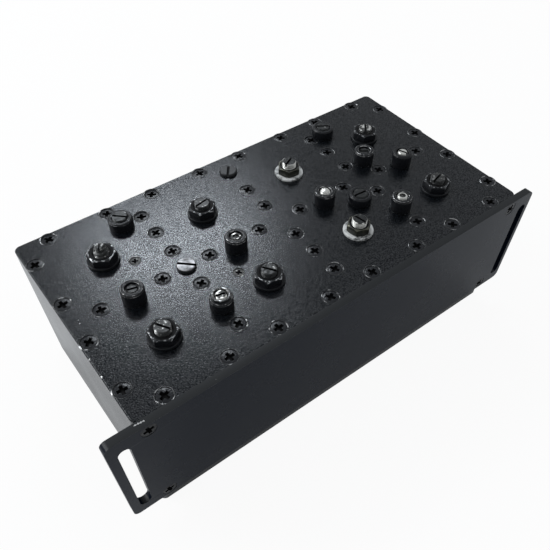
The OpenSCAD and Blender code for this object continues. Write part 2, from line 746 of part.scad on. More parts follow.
module insulator(i) {
    tip = flange_t + jack_l - jack_mouth_l;
    color("#f4f4f0") place() rearward(jack_x(i), body_w, jack_z) difference() {
        translate([0, 0, -outer_wall]) cylinder(d = insulator_d, h = tip + outer_wall);
        translate([0, 0, -outer_wall - cut])
            cylinder(d = contact_d + 2 * fit_gap, h = tip + outer_wall + 2 * cut);
    }
}

// Centre contact with a slotted socket
module contact(i) {
    tip = jack_tip - contact_recess;
    color("#d8b25a") place() rearward(jack_x(i), contact_in, jack_z) difference() {
        cylinder(d = contact_d, h = tip - contact_in);
        translate([0, 0, tip - contact_in - socket_l]) {
            cylinder(d = socket_d, h = socket_l + cut);
            for (a = [0, 90]) rotate([0, 0, a]) translate([-contact_d, -socket_slit / 2, 1])
                cube([2 * contact_d, socket_slit, socket_l + cut]);
        }
    }
}

module jack_screws() {
    color("#b9bcbe") place() for (s = flange_spots) rearward(s[0], body_w + flange_t, s[1])
        headed_screw(lid_screw_d, lid_head_d, flange_head_h, flange_screw_l, 45);
}

housing();
lid();
front_panel();
lid_screws();
panel_screws();
loop_screws();
slotted_screws();
lock_nuts();
washers();
bright_nuts();
bright_washers();
coupling_bushes();
resonator_bolts();
tap(0, 0);  // transmit_tap
antenna_tee();
tap(2, 7);  // receive_tap
cross_loop();
cross_probe();
probe_holder();
jack_screws();
for (n = [0:7]) {
    resonator(n);
    tuning_screw(n);
}
for (k = [0:5]) coupling_screw(k);
port_screw(0);  // transmit_screw
port_screw(1);  // receive_screw
probe_screw(0);  // probe_screw_near
probe_screw(1);  // probe_screw_far
for (i = [0:2]) {
    port = ["transmit", "antenna", "receive"][i];
    jack(i);
    insulator(i);
    contact(i);
}
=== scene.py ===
"""Look of an eight-resonator cavity duplexer.

The housing, its lid and everything inside them come from the CAD frame and get
their paint or plating here. The front panel, all fasteners, the adjusting screws
and the coaxial jacks are modelled again with threads, recesses, broken edges and
worn paint. Lengths are in millimetres up to the moment they become a mesh.
"""

from __future__ import annotations

import logging
import math
import random
from dataclasses import dataclass, field, replace
from enum import Enum
from functools import cache
from typing import Callable, Iterable, Sequence, Union

import bmesh
import bpy
from mathutils import Matrix, Vector

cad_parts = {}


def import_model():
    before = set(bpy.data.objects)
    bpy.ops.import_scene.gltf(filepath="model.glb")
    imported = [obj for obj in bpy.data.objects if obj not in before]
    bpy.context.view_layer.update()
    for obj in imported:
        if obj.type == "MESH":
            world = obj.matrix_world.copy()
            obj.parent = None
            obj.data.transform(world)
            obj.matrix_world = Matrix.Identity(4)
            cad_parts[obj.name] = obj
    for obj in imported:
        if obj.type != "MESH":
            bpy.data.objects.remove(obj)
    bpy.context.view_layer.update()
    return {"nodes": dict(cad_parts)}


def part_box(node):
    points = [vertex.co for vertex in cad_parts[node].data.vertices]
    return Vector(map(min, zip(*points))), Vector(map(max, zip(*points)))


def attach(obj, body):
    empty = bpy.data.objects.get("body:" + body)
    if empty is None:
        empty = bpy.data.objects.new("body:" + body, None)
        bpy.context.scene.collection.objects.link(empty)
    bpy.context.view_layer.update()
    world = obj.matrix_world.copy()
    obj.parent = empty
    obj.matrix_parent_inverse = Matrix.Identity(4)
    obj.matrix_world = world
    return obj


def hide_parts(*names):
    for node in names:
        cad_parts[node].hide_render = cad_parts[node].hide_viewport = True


MM = 0.001
FULL_TURN = 2 * math.pi
log = logging.getLogger("duplexer")

Point = tuple[float, float]
Place = tuple[float, float, float]
Colour = tuple[float, float, float]
Solid = bmesh.types.BMesh
Socket = bpy.types.NodeSocket
Feed = Union[Socket, float, tuple]
Feeds = dict[Union[str, int], Feed]
Outputs = dict[str, Socket]

DAYLIGHT = (0.94, 0.97, 1.0)
CAVITIES = range(1, 9)
UPWARD = 0.8  # least height of a unit normal that points up
COARSE_PITCH, FINE_PITCH = 0.75, 0.5  # pitches of the adjusting screws
COARSE_FROM = 2.5  # radius past which they have the coarse pitch
THREAD_DEPTH = 0.55  # depth of their thread, in pitches

NONE_BARE, ALL_BARE = 0.78, 0.22  # noise levels past which nothing or everything is rubbed through
EDGE_PATCHES, EDGE_SOFT = 420.0, 0.05  # rubbed patches per metre of an edge, and their softness
EDGE_BESIDE, EDGE_ON = 0.985, 0.9  # cosine between the rounded and the flat normal beside an edge and on it
WAVE_SIZE, WAVE_SHARE = 0.3, 0.15  # the coarse wave under the grain, against the fine one
HOLLOW, PEAK = 0.36, 0.64  # heights of the grain
CLOUD_SIZE = 45.0  # clouds per metre
CLOUD_LOW, CLOUD_HIGH = 0.3, 0.7  # noise levels of no cloud and of a full one
CHIP_NOTCHES = 1900.0  # notches per metre in the border of a chip


class Coat(Enum):
    """How much of its black paint the end of an adjusting screw has kept."""

    PAINTED = "painted screw"
    WORN = "worn screw"
    PATCHY = "patchy nickel"
    BRIGHT = "bright nickel"


class Tip(Enum):
    """The shape of an adjusting screw's upper end."""

    SLOTTED = "slotted"
    DOMED = "domed"
    HOLLOW = "hollow"
    BROKEN = "broken"


class Tree:
    """Adds and joins the nodes of one shader tree."""

    def __init__(self, tree: bpy.types.NodeTree) -> None:
        """Keeps the tree that nodes are added to."""
        self.tree = tree

    def feed(self, node: bpy.types.Node, feeds: Feeds) -> None:
        """Joins outputs to a node's inputs, or sets their values.

        Args:
            node: The node.
            feeds: An output or a value for each input.
        """
        for name, value in feeds.items():
            if isinstance(value, Socket):
                self.tree.links.new(value, node.inputs[name])
            else:
                node.inputs[name].default_value = value

    def add(self, kind: str, feeds: Feeds | None = None, **settings: object) -> bpy.types.Node:
        """Adds a node.

        Args:
            kind: The node's type name.
            feeds: A value or another node's output for each named input.
            settings: Properties of the node itself.

        Returns:
            The new node.
        """
        node = self.tree.nodes.new(kind)
        for name, value in settings.items():
            setattr(node, name, value)
        self.feed(node, feeds or {})
        return node

    def place(self) -> Socket:
        """Returns the place on the part, in metres."""
        return self.add("ShaderNodeTexCoord").outputs["Object"]

    def math(self, operation: str, first: Feed, second: Feed = 0.0, clamp: bool = False) -> Socket:
        """Returns the result of a Math node."""
        return self.add("ShaderNodeMath", {0: first, 1: second}, operation=operation, use_clamp=clamp).outputs[0]

    def blend(self, share: Feed, first: Feed, second: Feed) -> Socket:
        """Returns a value between two others."""
        return self.add("ShaderNodeMix", {0: share, 2: first, 3: second}, data_type="FLOAT").outputs[0]

    def tint(self, share: Feed, first: Feed, second: Feed) -> Socket:
        """Returns a colour between two others."""
        return self.add("ShaderNodeMix", {0: share, 6: first, 7: second}, data_type="RGBA").outputs[2]

    def spread(self, value: Feed, low: float, high: float) -> Socket:
        """Returns 0 to 1 as a value goes from one limit to the other."""
        return self.add("ShaderNodeMapRange", {0: value, 1: low, 2: high, 3: 0.0, 4: 1.0}).outputs[0]

    def noise(self, scale: Feed, detail: float, roughness: float = 0.5) -> Socket:
        """Returns a noise that is fixed to the part."""
        feeds = {"Vector": self.place(), "Scale": scale, "Detail": detail, "Roughness": roughness}
        return self.add("ShaderNodeTexNoise", feeds).outputs[0]

    def group(self, group: bpy.types.NodeTree, feeds: Feeds) -> bpy.types.Node:
        """Places a node group and returns its node."""
        return self.add("ShaderNodeGroup", feeds, node_tree=group)

    def mirrored(self, path: bpy.types.Node) -> Socket:
        """Returns 1 on the rays that show the surroundings in metal or glass."""
        return self.math("MAXIMUM", path.outputs["Is Glossy Ray"], path.outputs["Is Transmission Ray"])

    def finish(self, feeds: Feeds) -> None:
        """Adds the Principled shader with its feeds, and the material's output."""
        surface = self.add("ShaderNodeBsdfPrincipled", feeds)
        self.add("ShaderNodeOutputMaterial", {"Surface": surface.outputs[0]})


class SurfaceEffects:
    """The effects that all finishes share, each built once as a node group."""

    def __init__(self) -> None:
        """Builds the groups."""
        self.rub = self._group("rubbed patches", {"Size": 900.0, "Share": 0.2, "Softness": 0.08}, {"Mask": "Float"},
                               self._rub)
        self.grain = self._group("sprayed grain", {"Size": 1500.0}, {"Height": "Float"}, self._grain)
        self.cloud = self._group("handling clouds", {"Size": CLOUD_SIZE}, {"Cloud": "Float"}, self._cloud)
        self.edge = self._group("broken edges", {"Width": 0.0003}, {"Mask": "Float", "Normal": "Vector"}, self._edge)
        self.chip = self._group("paint chip", {"Centre": (0.0, 0.0, 0.0), "Radius": 0.0005}, {"Mask": "Float"},
                                self._chip)

    @staticmethod
    def _group(name: str, inputs: dict[str, object], outputs: dict[str, str],
               fill: Callable[[Tree, bpy.types.Node], Outputs]) -> bpy.types.NodeTree:
        """Makes a shader node group.

        Args:
            name: The group's name.
            inputs: The first value of each input, a number or three.
            outputs: The kind of each output, Float or Vector.
            fill: Adds the nodes and returns what feeds each output.

        Returns:
            The group.
        """
        group = bpy.data.node_groups.new(name, "ShaderNodeTree")
        for label, value in inputs.items():
            kind = "NodeSocketVector" if isinstance(value, tuple) else "NodeSocketFloat"
            group.interface.new_socket(name=label, in_out="INPUT", socket_type=kind).default_value = value
        for label, kind in outputs.items():
            group.interface.new_socket(name=label, in_out="OUTPUT", socket_type=f"NodeSocket{kind}")
        tree = Tree(group)
        source = tree.add("NodeGroupInput")
        tree.feed(tree.add("NodeGroupOutput"), fill(tree, source))
        return group

    @staticmethod
    def _rub(tree: Tree, source: bpy.types.Node) -> Outputs:
        """Fills the group of patches where a coat is rubbed through.

        Args:
            tree: The group's tree.
            source: The node with the group's inputs.

        Returns:
            A mask that covers a given share.
        """
        noise = tree.noise(source.outputs["Size"], 5.0, 0.62)
        fall = tree.math("MULTIPLY", source.outputs["Share"], NONE_BARE - ALL_BARE)
        level = tree.math("SUBTRACT", NONE_BARE, fall)
        over = tree.math("DIVIDE", tree.math("SUBTRACT", noise, level), source.outputs["Softness"])
        return {"Mask": tree.math("ADD", over, 0.5, clamp=True)}

    @staticmethod
    def _grain(tree: Tree, source: bpy.types.Node) -> Outputs:
        """Fills the group of a sprayed coat's orange-peel grain.

        Args:
            tree: The group's tree.
            source: The node with the group's inputs.

        Returns:
            The height of the grain, with a coarser wave under it.
        """
        fine = tree.noise(source.outputs["Size"], 1.0)
        coarse = tree.noise(tree.math("MULTIPLY", source.outputs["Size"], WAVE_SIZE), 1.0)
        return {"Height": tree.blend(WAVE_SHARE, fine, coarse)}

    @staticmethod
    def _cloud(tree: Tree, source: bpy.types.Node) -> Outputs:
        """Fills the group of broad clouds left by handling, from 0 to 1, and returns its output."""
        return {"Cloud": tree.spread(tree.noise(source.outputs["Size"], 5.0, 0.6), CLOUD_LOW, CLOUD_HIGH)}

    @staticmethod
    def _edge(tree: Tree, source: bpy.types.Node) -> Outputs:
        """Fills the group of the sharp edges of a solid.

        Args:
            tree: The group's tree.
            source: The node with the group's inputs.

        Returns:
            A mask along the edges, and their normal when they are rounded.
        """
        rounded = tree.add("ShaderNodeBevel", {"Radius": source.outputs["Width"]}, samples=6).outputs[0]
        flat = tree.add("ShaderNodeNewGeometry").outputs["Normal"]
        turn = tree.add("ShaderNodeVectorMath", {0: rounded, 1: flat}, operation="DOT_PRODUCT").outputs["Value"]
        return {"Mask": tree.spread(turn, EDGE_BESIDE, EDGE_ON), "Normal": rounded}

    @staticmethod
    def _chip(tree: Tree, source: bpy.types.Node) -> Outputs:
        """Fills the group of one small ragged bare place in a coat.

        Args:
            tree: The group's tree.
            source: The node with the group's inputs.

        Returns:
            The mask of that place.
        """
        away = tree.add("ShaderNodeVectorMath", {0: tree.place(), 1: source.outputs["Centre"]}, operation="DISTANCE")
        ragged = tree.math("MULTIPLY", tree.noise(CHIP_NOTCHES, 3.0), 2.0)
        reach = tree.math("MULTIPLY", source.outputs["Radius"], ragged)
        return {"Mask": tree.math("LESS_THAN", away.outputs["Value"], reach)}


@dataclass(frozen=True)
class Chip:
    """A bare place in a coat, at a point of the part and with a radius, in millimetres."""

    centre: Place
    radius: float


@dataclass(frozen=True)
class Finish:
    """A coat over a metal, with its grain, wear and handling marks.

    Attributes:
        name: The material's name.
        coat: Colour of the paint, plating tarnish, dirt or painted shade that covers the metal.
        metal: Colour of the metal below.
        coat_rough: Roughness of the coat.
        metal_rough: Roughness of the metal.
        bare: Share of the surface where the metal shows.
        patch: Patches per metre.
        soft: Softness of the patches' borders.
        grain: Grains per metre.
        depth: Depth of the grain in millimetres.
        gloss: Reflection of the coat, 0.5 for common paint.
        sparkle: Share of dark metal in the hollows of the grain, where the coat mirrors less than on its peaks.
        clouds: Change of roughness from handling.
        edge: Width of the edges where the coat is thin, in millimetres, or 0.
        edge_bare: Share of those edges that is bare.
        chips: Bare places.
    """

    name: str
    coat: Colour
    metal: Colour = (0.55, 0.55, 0.54)
    coat_rough: float = 0.45
    metal_rough: float = 0.3
    bare: float = 0.0
    patch: float = 900.0
    soft: float = 0.08
    grain: float = 2600.0
    depth: float = 0.02
    gloss: float = 0.5
    sparkle: float = 0.0
    clouds: float = 0.06
    edge: float = 0.0
    edge_bare: float = 0.3
    chips: tuple[Chip, ...] = ()

    def build(self, effects: SurfaceEffects) -> bpy.types.Material:
        """Builds the material.

        Args:
            effects: The shared node groups.

        Returns:
            The material.
        """
        material, tree = blank_material(self.name)
        grain = tree.group(effects.grain, {"Size": self.grain}).outputs["Height"]
        cloud = tree.group(effects.cloud, {"Size": CLOUD_SIZE}).outputs["Cloud"]
        bare = tree.group(effects.rub, {"Size": self.patch, "Share": self.bare, "Softness": self.soft}).outputs["Mask"]
        bump: Feeds = {"Strength": 1.0, "Distance": self.depth * MM, "Height": grain}
        if self.edge > 0:
            edge = tree.group(effects.edge, {"Width": self.edge * MM})
            thin = tree.group(effects.rub, {"Size": EDGE_PATCHES, "Share": self.edge_bare, "Softness": EDGE_SOFT})
            bare = tree.math("MAXIMUM", bare, tree.math("MULTIPLY", edge.outputs["Mask"], thin.outputs["Mask"]))
            bump["Normal"] = edge.outputs["Normal"]
        for chip in self.chips:
            centre = tuple(value * MM for value in chip.centre)
            spot = tree.group(effects.chip, {"Centre": centre, "Radius": chip.radius * MM})
            bare = tree.math("MAXIMUM", bare, spot.outputs["Mask"])
        coat_rough = tree.math("ADD", tree.math("MULTIPLY", cloud, self.clouds), self.coat_rough)
        metallic = bare
        if self.sparkle > 0:
            hollow = tree.math("MULTIPLY", tree.spread(grain, PEAK, HOLLOW), self.sparkle)
            metallic = tree.math("MAXIMUM", bare, hollow)
        tree.finish({
            "Base Color": tree.tint(bare, (*self.coat, 1.0), (*self.metal, 1.0)),
            "Roughness": tree.blend(bare, coat_rough, self.metal_rough),
            "Metallic": metallic,
            "Specular IOR Level": self.gloss,
            "Normal": tree.add("ShaderNodeBump", bump).outputs[0],
        })
        return material


@dataclass(frozen=True)
class Polymer:
    """A plain white insulating plastic with a faint machined grain.

    Attributes:
        name: The material's name.
        colour: Its colour.
        shade: How light the colour stays in its clouds, as a share.
        rough: Its roughness.
        clouds: Change of roughness in the clouds.
        cloud: Clouds per metre.
        grain: Grains per metre.
        depth: Depth of the grain in millimetres.
        bleed: How far red, green and blue light runs below the surface, in metres.
    """

    name: str
    colour: Colour = (0.86, 0.86, 0.83)
    shade: float = 0.86
    rough: float = 0.42
    clouds: float = 0.1
    cloud: float = 240.0
    grain: float = 3200.0
    depth: float = 0.01
    bleed: Colour = (0.0008, 0.0008, 0.0007)

    def build(self, effects: SurfaceEffects) -> bpy.types.Material:
        """Builds the material.

        Args:
            effects: The shared node groups.

        Returns:
            The material.
        """
        material, tree = blank_material(self.name)
        grain = tree.group(effects.grain, {"Size": self.grain}).outputs["Height"]
        cloud = tree.group(effects.cloud, {"Size": self.cloud}).outputs["Cloud"]
        shade = tuple(value * self.shade for value in self.colour)
        bump: Feeds = {"Strength": 1.0, "Distance": self.depth * MM, "Height": grain}
        tree.finish({
            "Base Color": tree.tint(cloud, (*self.colour, 1.0), (*shade, 1.0)),
            "Roughness": tree.math("ADD", tree.math("MULTIPLY", cloud, self.clouds), self.rough),
            "Normal": tree.add("ShaderNodeBump", bump).outputs[0],
            "Subsurface Weight": 0.2,
            "Subsurface Radius": self.bleed,
            "Subsurface Scale": 1.0,
        })
        return material


def blank_material(name: str) -> tuple[bpy.types.Material, Tree]:
    """Makes a material without nodes.

    Args:
        name: Its name.

    Returns:
        The material and its empty tree.
    """
    material = bpy.data.materials.new(name)
    material.use_nodes = True
    material.node_tree.nodes.clear()
    return material, Tree(material.node_tree)


DULL = (0.40, 0.40, 0.38)
LID_CHIPS = (
    Chip((-89.8, -16.9, 61.5), 0.35),
    Chip((-89.7, -25.4, 61.5), 0.4),
    Chip((-85.4, 0.2, 61.5), 0.14),
    Chip((-85.6, -1.4, 61.5), 0.16),
)
PANEL_CHIPS = tuple(Chip((-89.9 + 0.45 * step, -47.4 - 0.04 * step, 62.2), 0.15 + 0.13 * (step % 2))
                    for step in range(8))

FINISHES = (
    Finish("lid textured black", (0.0058, 0.0075, 0.0100), coat_rough=0.195, grain=2100.0, depth=0.06, clouds=0.04,
           gloss=0.86, sparkle=0.92, edge=0.25, edge_bare=0.12, chips=LID_CHIPS),
    Finish("housing satin black", (0.012, 0.0125, 0.014), coat_rough=0.2, grain=1500.0, gloss=0.7, edge=0.25,
           edge_bare=0.1),
    Finish("panel satin black", (0.003, 0.0055, 0.0115), coat_rough=0.25, grain=1700.0, depth=0.012, gloss=0.14),
    Finish("panel top", (0.013, 0.0145, 0.016), coat_rough=0.36, bare=0.02, patch=420.0, gloss=0.3,
           metal=(0.75, 0.75, 0.75), chips=PANEL_CHIPS),
    Finish("panel edge", (0.022, 0.023, 0.026), coat_rough=0.3, bare=0.45, patch=260.0, soft=0.25,
           metal=(0.26, 0.26, 0.27)),
    Finish("painted head", (0.009, 0.010, 0.0125), coat_rough=0.24, bare=0.06, patch=700.0, grain=1300.0, depth=0.1,
           gloss=0.36),
    Finish("worn head", (0.03, 0.03, 0.03), coat_rough=0.36, bare=0.3, soft=0.14, metal=DULL, metal_rough=0.34),
    Finish("smooth head", (0.014, 0.015, 0.017), coat_rough=0.32, bare=0.08, patch=500.0, metal=DULL, gloss=0.4),
    # A pale screw face: half bare metal, and a grey coat lighter than the black paint as a painted highlight.
    Finish("bare head with painted highlight", (0.10, 0.10, 0.105), coat_rough=0.4, bare=0.55, patch=380.0, soft=0.25,
           metal=(0.40, 0.40, 0.41), metal_rough=0.4, grain=1300.0, depth=0.06),
    Finish("worn rim", (0.02, 0.021, 0.022), coat_rough=0.3, bare=0.42, patch=620.0, soft=0.1, metal=(0.6, 0.6, 0.6)),
    Finish("worn crown", (0.012, 0.013, 0.015), coat_rough=0.34, bare=0.38, patch=820.0, gloss=0.25,
           metal=(0.46, 0.47, 0.48), metal_rough=0.34, grain=1100.0, depth=0.14),
    Finish("paint ridge", (0.014, 0.015, 0.016), coat_rough=0.2, bare=0.34, patch=360.0, soft=0.1,
           metal=(0.46, 0.46, 0.46)),
    Finish("painted nut", (0.0065, 0.0072, 0.009), coat_rough=0.3, bare=0.04, patch=600.0, grain=950.0, depth=0.2,
           gloss=0.3),
    Finish("painted screw", (0.010, 0.0115, 0.012), coat_rough=0.26, bare=0.2, patch=480.0, soft=0.1, grain=1000.0,
           depth=0.2, gloss=0.4, metal=(0.5, 0.5, 0.48)),
    Finish("worn screw", (0.016, 0.017, 0.017), coat_rough=0.34, bare=0.32, patch=620.0, soft=0.12,
           metal=(0.36, 0.36, 0.35), grain=1000.0, depth=0.14),
    Finish("patchy nickel", (0.02, 0.02, 0.019), metal=(0.80, 0.80, 0.77), coat_rough=0.4, metal_rough=0.28, bare=0.4,
           patch=520.0, soft=0.1, grain=1100.0, depth=0.14),
    Finish("bright nickel", (0.09, 0.09, 0.075), metal=(0.84, 0.84, 0.80), coat_rough=0.5, bare=0.74, patch=620.0,
           soft=0.16, grain=1300.0, depth=0.08),
    Finish("satin zinc", (0.62, 0.63, 0.62), metal=(0.13, 0.135, 0.135), coat_rough=0.6, metal_rough=0.5, bare=0.4,
           patch=300.0, soft=0.14, grain=900.0, depth=0.12),
    Finish("olive nickel", (0.010, 0.011, 0.0085), metal=(0.08, 0.08, 0.06), coat_rough=0.36, bare=0.3, patch=500.0,
           soft=0.3, gloss=0.3, grain=1000.0, depth=0.12),
    Finish("olive edge", (0.016, 0.016, 0.013), metal=(0.13, 0.13, 0.105), coat_rough=0.36, bare=0.45, patch=420.0,
           soft=0.14),
    # Near-black painted shade for the slots, the cross recesses and the nut faces round the bores, where shade falls.
    Finish("painted shade", (0.006, 0.006, 0.0065), coat_rough=0.5, bare=0.05, metal=DULL, gloss=0.12),
    Finish("plain steel", (0.12, 0.12, 0.12), metal=(0.50, 0.51, 0.52), metal_rough=0.27, bare=0.93, soft=0.3),
    Finish("gilt brass", (0.25, 0.17, 0.08), metal=(0.78, 0.56, 0.24), metal_rough=0.2, bare=0.95, soft=0.3,
           depth=0.008),
    Finish("silver plate", (0.3, 0.29, 0.27), metal=(0.80, 0.80, 0.79), metal_rough=0.25, bare=0.9, soft=0.3,
           depth=0.008),
    Finish("white bronze", (0.22, 0.21, 0.19), metal=(0.68, 0.67, 0.63), metal_rough=0.23, bare=0.93, soft=0.3,
           depth=0.008),
    Polymer("white fluoropolymer"),
)


class Finishes:
    """Gives out the materials, each built on first use."""

    def __init__(self) -> None:
        """Sorts the finishes by name."""
        self._listed = {finish.name: finish for finish in FINISHES}
        self._built: dict[str, bpy.types.Material] = {}
        self._effects = SurfaceEffects()

    def get(self, *names: str) -> list[bpy.types.Material]:
        """Finds or builds some finishes.

        Args:
            names: Their names.

        Returns:
            Their materials, in the same order.
        """
        for name in names:
            if name not in self._built:
                self._built[name] = self._listed[name].build(self._effects)
        return [self._built[name] for name in names]


def turned(profile: Sequence[Point], steps: int = 48, closed: bool = False) -> Solid:
    """Spins a profile about the Z axis.

    Args:
        profile: Radius and height of each corner, in millimetres.
        steps: Number of faces round the axis.
        closed: Whether the last corner joins the first, as on a ring.

    Returns:
        A closed solid of revolution.
    """
    mesh = bmesh.new()
    corners = [mesh.verts.new((radius * MM, 0, height * MM)) for radius, height in profile]
    pairs = list(zip(corners, corners[1:])) + ([(corners[-1], corners[0])] if closed else [])
    edges = [mesh.edges.new(pair) for pair in pairs]
    bmesh.ops.spin(mesh, geom=corners + edges, cent=(0, 0, 0), axis=(0, 0, 1), dvec=(0, 0, 0), angle=FULL_TURN,
                   steps=steps, use_merge=True, use_normal_flip=False, use_duplicate=False)
    return tidied(mesh)


def tidied(mesh: Solid) -> Solid:
    """Merges doubles and points all faces outwards.

    Args:
        mesh: The mesh.

    Returns:
        The same mesh.
    """
    bmesh.ops.remove_doubles(mesh, verts=mesh.verts, dist=0.002 * MM)
    bmesh.ops.dissolve_degenerate(mesh, edges=mesh.edges, dist=0.001 * MM)
    bmesh.ops.recalc_face_normals(mesh, faces=mesh.faces)
    return mesh


def threaded(radius: float, depth: float, pitch: float, low: float, high: float, chamfer: float,
             steps: int = 20) -> Solid:
    """Spins one tooth of a thread upwards, closes its ends and chamfers them.

    Args:
        radius: Radius over the crests, in millimetres.
        depth: Depth of the thread.
        pitch: Rise in each turn.
        low: Height of the lower end.
        high: Height of the upper end.
        chamfer: How far the ends are narrowed.
        steps: Number of faces in each turn.

    Returns:
        A closed threaded rod.
    """
    mesh = bmesh.new()
    turns = math.ceil((high - low) / pitch) + 2
    tooth = ((radius - depth, 0.0), (radius - depth, 0.12), (radius, 0.46), (radius, 0.66), (radius - depth, 1.0))
    corners = [mesh.verts.new((r * MM, 0, (low - pitch + share * pitch) * MM)) for r, share in tooth]
    edges = [mesh.edges.new(pair) for pair in zip(corners, corners[1:])]
    bmesh.ops.spin(mesh, geom=corners + edges, cent=(0, 0, 0), axis=(0, 0, 1), dvec=(0, 0, pitch * MM / steps),
                   angle=FULL_TURN * turns, steps=steps * turns, use_merge=False, use_normal_flip=False,
                   use_duplicate=False)
    bmesh.ops.remove_doubles(mesh, verts=mesh.verts, dist=0.01 * MM)
    for height, side in ((low, -1), (high, 1)):
        for inner in (0.0, chamfer):
            bmesh.ops.bisect_plane(mesh, geom=mesh.verts[:] + mesh.edges[:] + mesh.faces[:], dist=0.0001 * MM,
                                   plane_co=(0, 0, (height - side * inner) * MM), plane_no=(0, 0, side),
                                   clear_outer=inner == 0.0, clear_inner=False)
    bmesh.ops.holes_fill(mesh, edges=[edge for edge in mesh.edges if edge.is_boundary], sides=0)
    for corner in mesh.verts:
        inset = chamfer - min(corner.co.z / MM - low, high - corner.co.z / MM)
        wide = math.hypot(corner.co.x, corner.co.y) / MM
        if inset > 0 and wide > radius - inset:
            corner.co.x, corner.co.y = (value * (radius - inset) / wide for value in corner.co.xy)
    return tidied(mesh)


def block(size: Place, centre: Place = (0, 0, 0), taper: float = 1.0) -> Solid:
    """Makes a block, narrower at its foot where it tapers.

    Args:
        size: Length, width and height in millimetres.
        centre: Its middle.
        taper: Size of the foot against the top.

    Returns:
        The block.
    """
    mesh = bmesh.new()
    made = bmesh.ops.create_cube(mesh, size=MM)
    foot = [corner for corner in made["verts"] if corner.co.z < 0]
    bmesh.ops.scale(mesh, vec=(taper, taper, 1), verts=foot)
    bmesh.ops.scale(mesh, vec=size, verts=mesh.verts)
    bmesh.ops.translate(mesh, vec=Vector(centre) * MM, verts=mesh.verts)
    return mesh


def plate(length: float, width: float, height: float, corner: float, segments: int = 8) -> Solid:
    """Makes a block about the origin with round corners.

    Args:
        length, width, height: Its size in millimetres.
        corner: Radius of its upright corners.
        segments: Number of faces round each corner.

    Returns:
        The block.
    """
    mesh = block((length, width, height))
    posts = [edge for edge in mesh.edges if abs(edge.verts[0].co.z - edge.verts[1].co.z) > 0.001 * MM]
    bmesh.ops.bevel(mesh, geom=posts, offset=corner * MM, offset_type="OFFSET", segments=segments, profile=0.5,
                    affect="EDGES", material=-1)
    return tidied(mesh)


def seat(x: float, y: float, z: float, turn: float = 0.0, tilt: float = 0.0) -> Matrix:
    """Returns a place in millimetres, with a turn about Z and then a tilt about X, in degrees."""
    turned_by = Matrix.Rotation(math.radians(tilt), 4, "X") @ Matrix.Rotation(math.radians(turn), 4, "Z")
    return Matrix.Translation(Vector((x, y, z)) * MM) @ turned_by


def moved(mesh: Solid, place: Matrix) -> Solid:
    """Moves a mesh to a place and returns it."""
    bmesh.ops.transform(mesh, matrix=place, verts=mesh.verts)
    return mesh


def stored(name: str, mesh: Solid) -> bpy.types.Mesh:
    """Turns a mesh into mesh data.

    Args:
        name: The name of the data.
        mesh: The mesh, which is used up.

    Returns:
        The data.
    """
    data = bpy.data.meshes.new(name)
    mesh.to_mesh(data)
    mesh.free()
    return data


class Pattern:
    """A mesh that is built once and set down many times."""

    def __init__(self, mesh: Solid) -> None:
        """Keeps a mesh, which is used up."""
        self.data = stored("pattern", mesh)

    def at(self, places: Iterable[Matrix], whole: Solid | None = None) -> Solid:
        """Repeats the pattern.

        Args:
            places: Where each copy goes.
            whole: The mesh that the copies are added to, or a new one.

        Returns:
            That mesh.
        """
        if whole is None:
            whole = bmesh.new()
        for place in places:
            before = len(whole.verts)
            whole.from_mesh(self.data)
            whole.verts.ensure_lookup_table()
            bmesh.ops.transform(whole, matrix=place, verts=whole.verts[before:])
        return whole


def linked(name: str, data: bpy.types.ID) -> bpy.types.Object:
    """Puts a mesh, a lamp or a camera into the scene.

    Args:
        name: The new object's name.
        data: What the object shows.

    Returns:
        The object.
    """
    piece = bpy.data.objects.new(name, data)
    bpy.context.scene.collection.objects.link(piece)
    return piece


def loose_object(name: str, mesh: Solid) -> bpy.types.Object:
    """Puts a mesh, which is used up, into the scene and returns its object."""
    return linked(name, stored(name, mesh))


def discard(piece: bpy.types.Object) -> None:
    """Removes the mesh of an object, and the object with it."""
    bpy.data.meshes.remove(piece.data)


def applied(piece: bpy.types.Object) -> Solid:
    """Applies the modifiers of an object.

    Args:
        piece: The object, which is used up.

    Returns:
        Its mesh.
    """
    graph = bpy.context.evaluated_depsgraph_get()
    result = bmesh.new()
    result.from_mesh(piece.evaluated_get(graph).to_mesh())
    discard(piece)
    return result


def carved(mesh: Solid, tool: Solid, operation: str = "DIFFERENCE") -> Solid:
    """Cuts one mesh with another.

    Args:
        mesh: The solid, which is used up.
        tool: The cutting solid, which is used up.
        operation: DIFFERENCE, INTERSECT or UNION.

    Returns:
        The result.
    """
    piece, cutter = loose_object("work", mesh), loose_object("tool", tool)
    cut = piece.modifiers.new("cut", "BOOLEAN")
    cut.operation, cut.solver, cut.object = operation, "EXACT", cutter
    result = applied(piece)
    discard(cutter)
    return result


def rimmed(mesh: Solid, width: float, angle: float = 32.0, segments: int = 2) -> Solid:
    """Rounds the sharp edges of a mesh and gives the new faces its second material.

    Args:
        mesh: The solid, which is used up.
        width: Width of the rounding, in millimetres.
        angle: Least angle of an edge that is rounded, in degrees.
        segments: Number of faces across the rounding.

    Returns:
        The rounded solid.
    """
    piece = loose_object("work", mesh)
    for _ in range(2):
        piece.data.materials.append(None)
    bevel = piece.modifiers.new("rim", "BEVEL")
    bevel.width, bevel.segments, bevel.limit_method = width * MM, segments, "ANGLE"
    bevel.angle_limit, bevel.material, bevel.use_clamp_overlap = math.radians(angle), 1, True
    return applied(piece)


def marked(mesh: Solid, index: int, chosen: Callable[[Vector, Vector], bool]) -> Solid:
    """Gives some faces of a mesh another material.

    Args:
        mesh: The mesh.
        index: The place of that material in the piece's list.
        chosen: Picks a face by its middle, in millimetres, and its normal.

    Returns:
        The same mesh.
    """
    for face in mesh.faces:
        if chosen(face.calc_center_median() / MM, face.normal):
            face.material_index = index
    return mesh


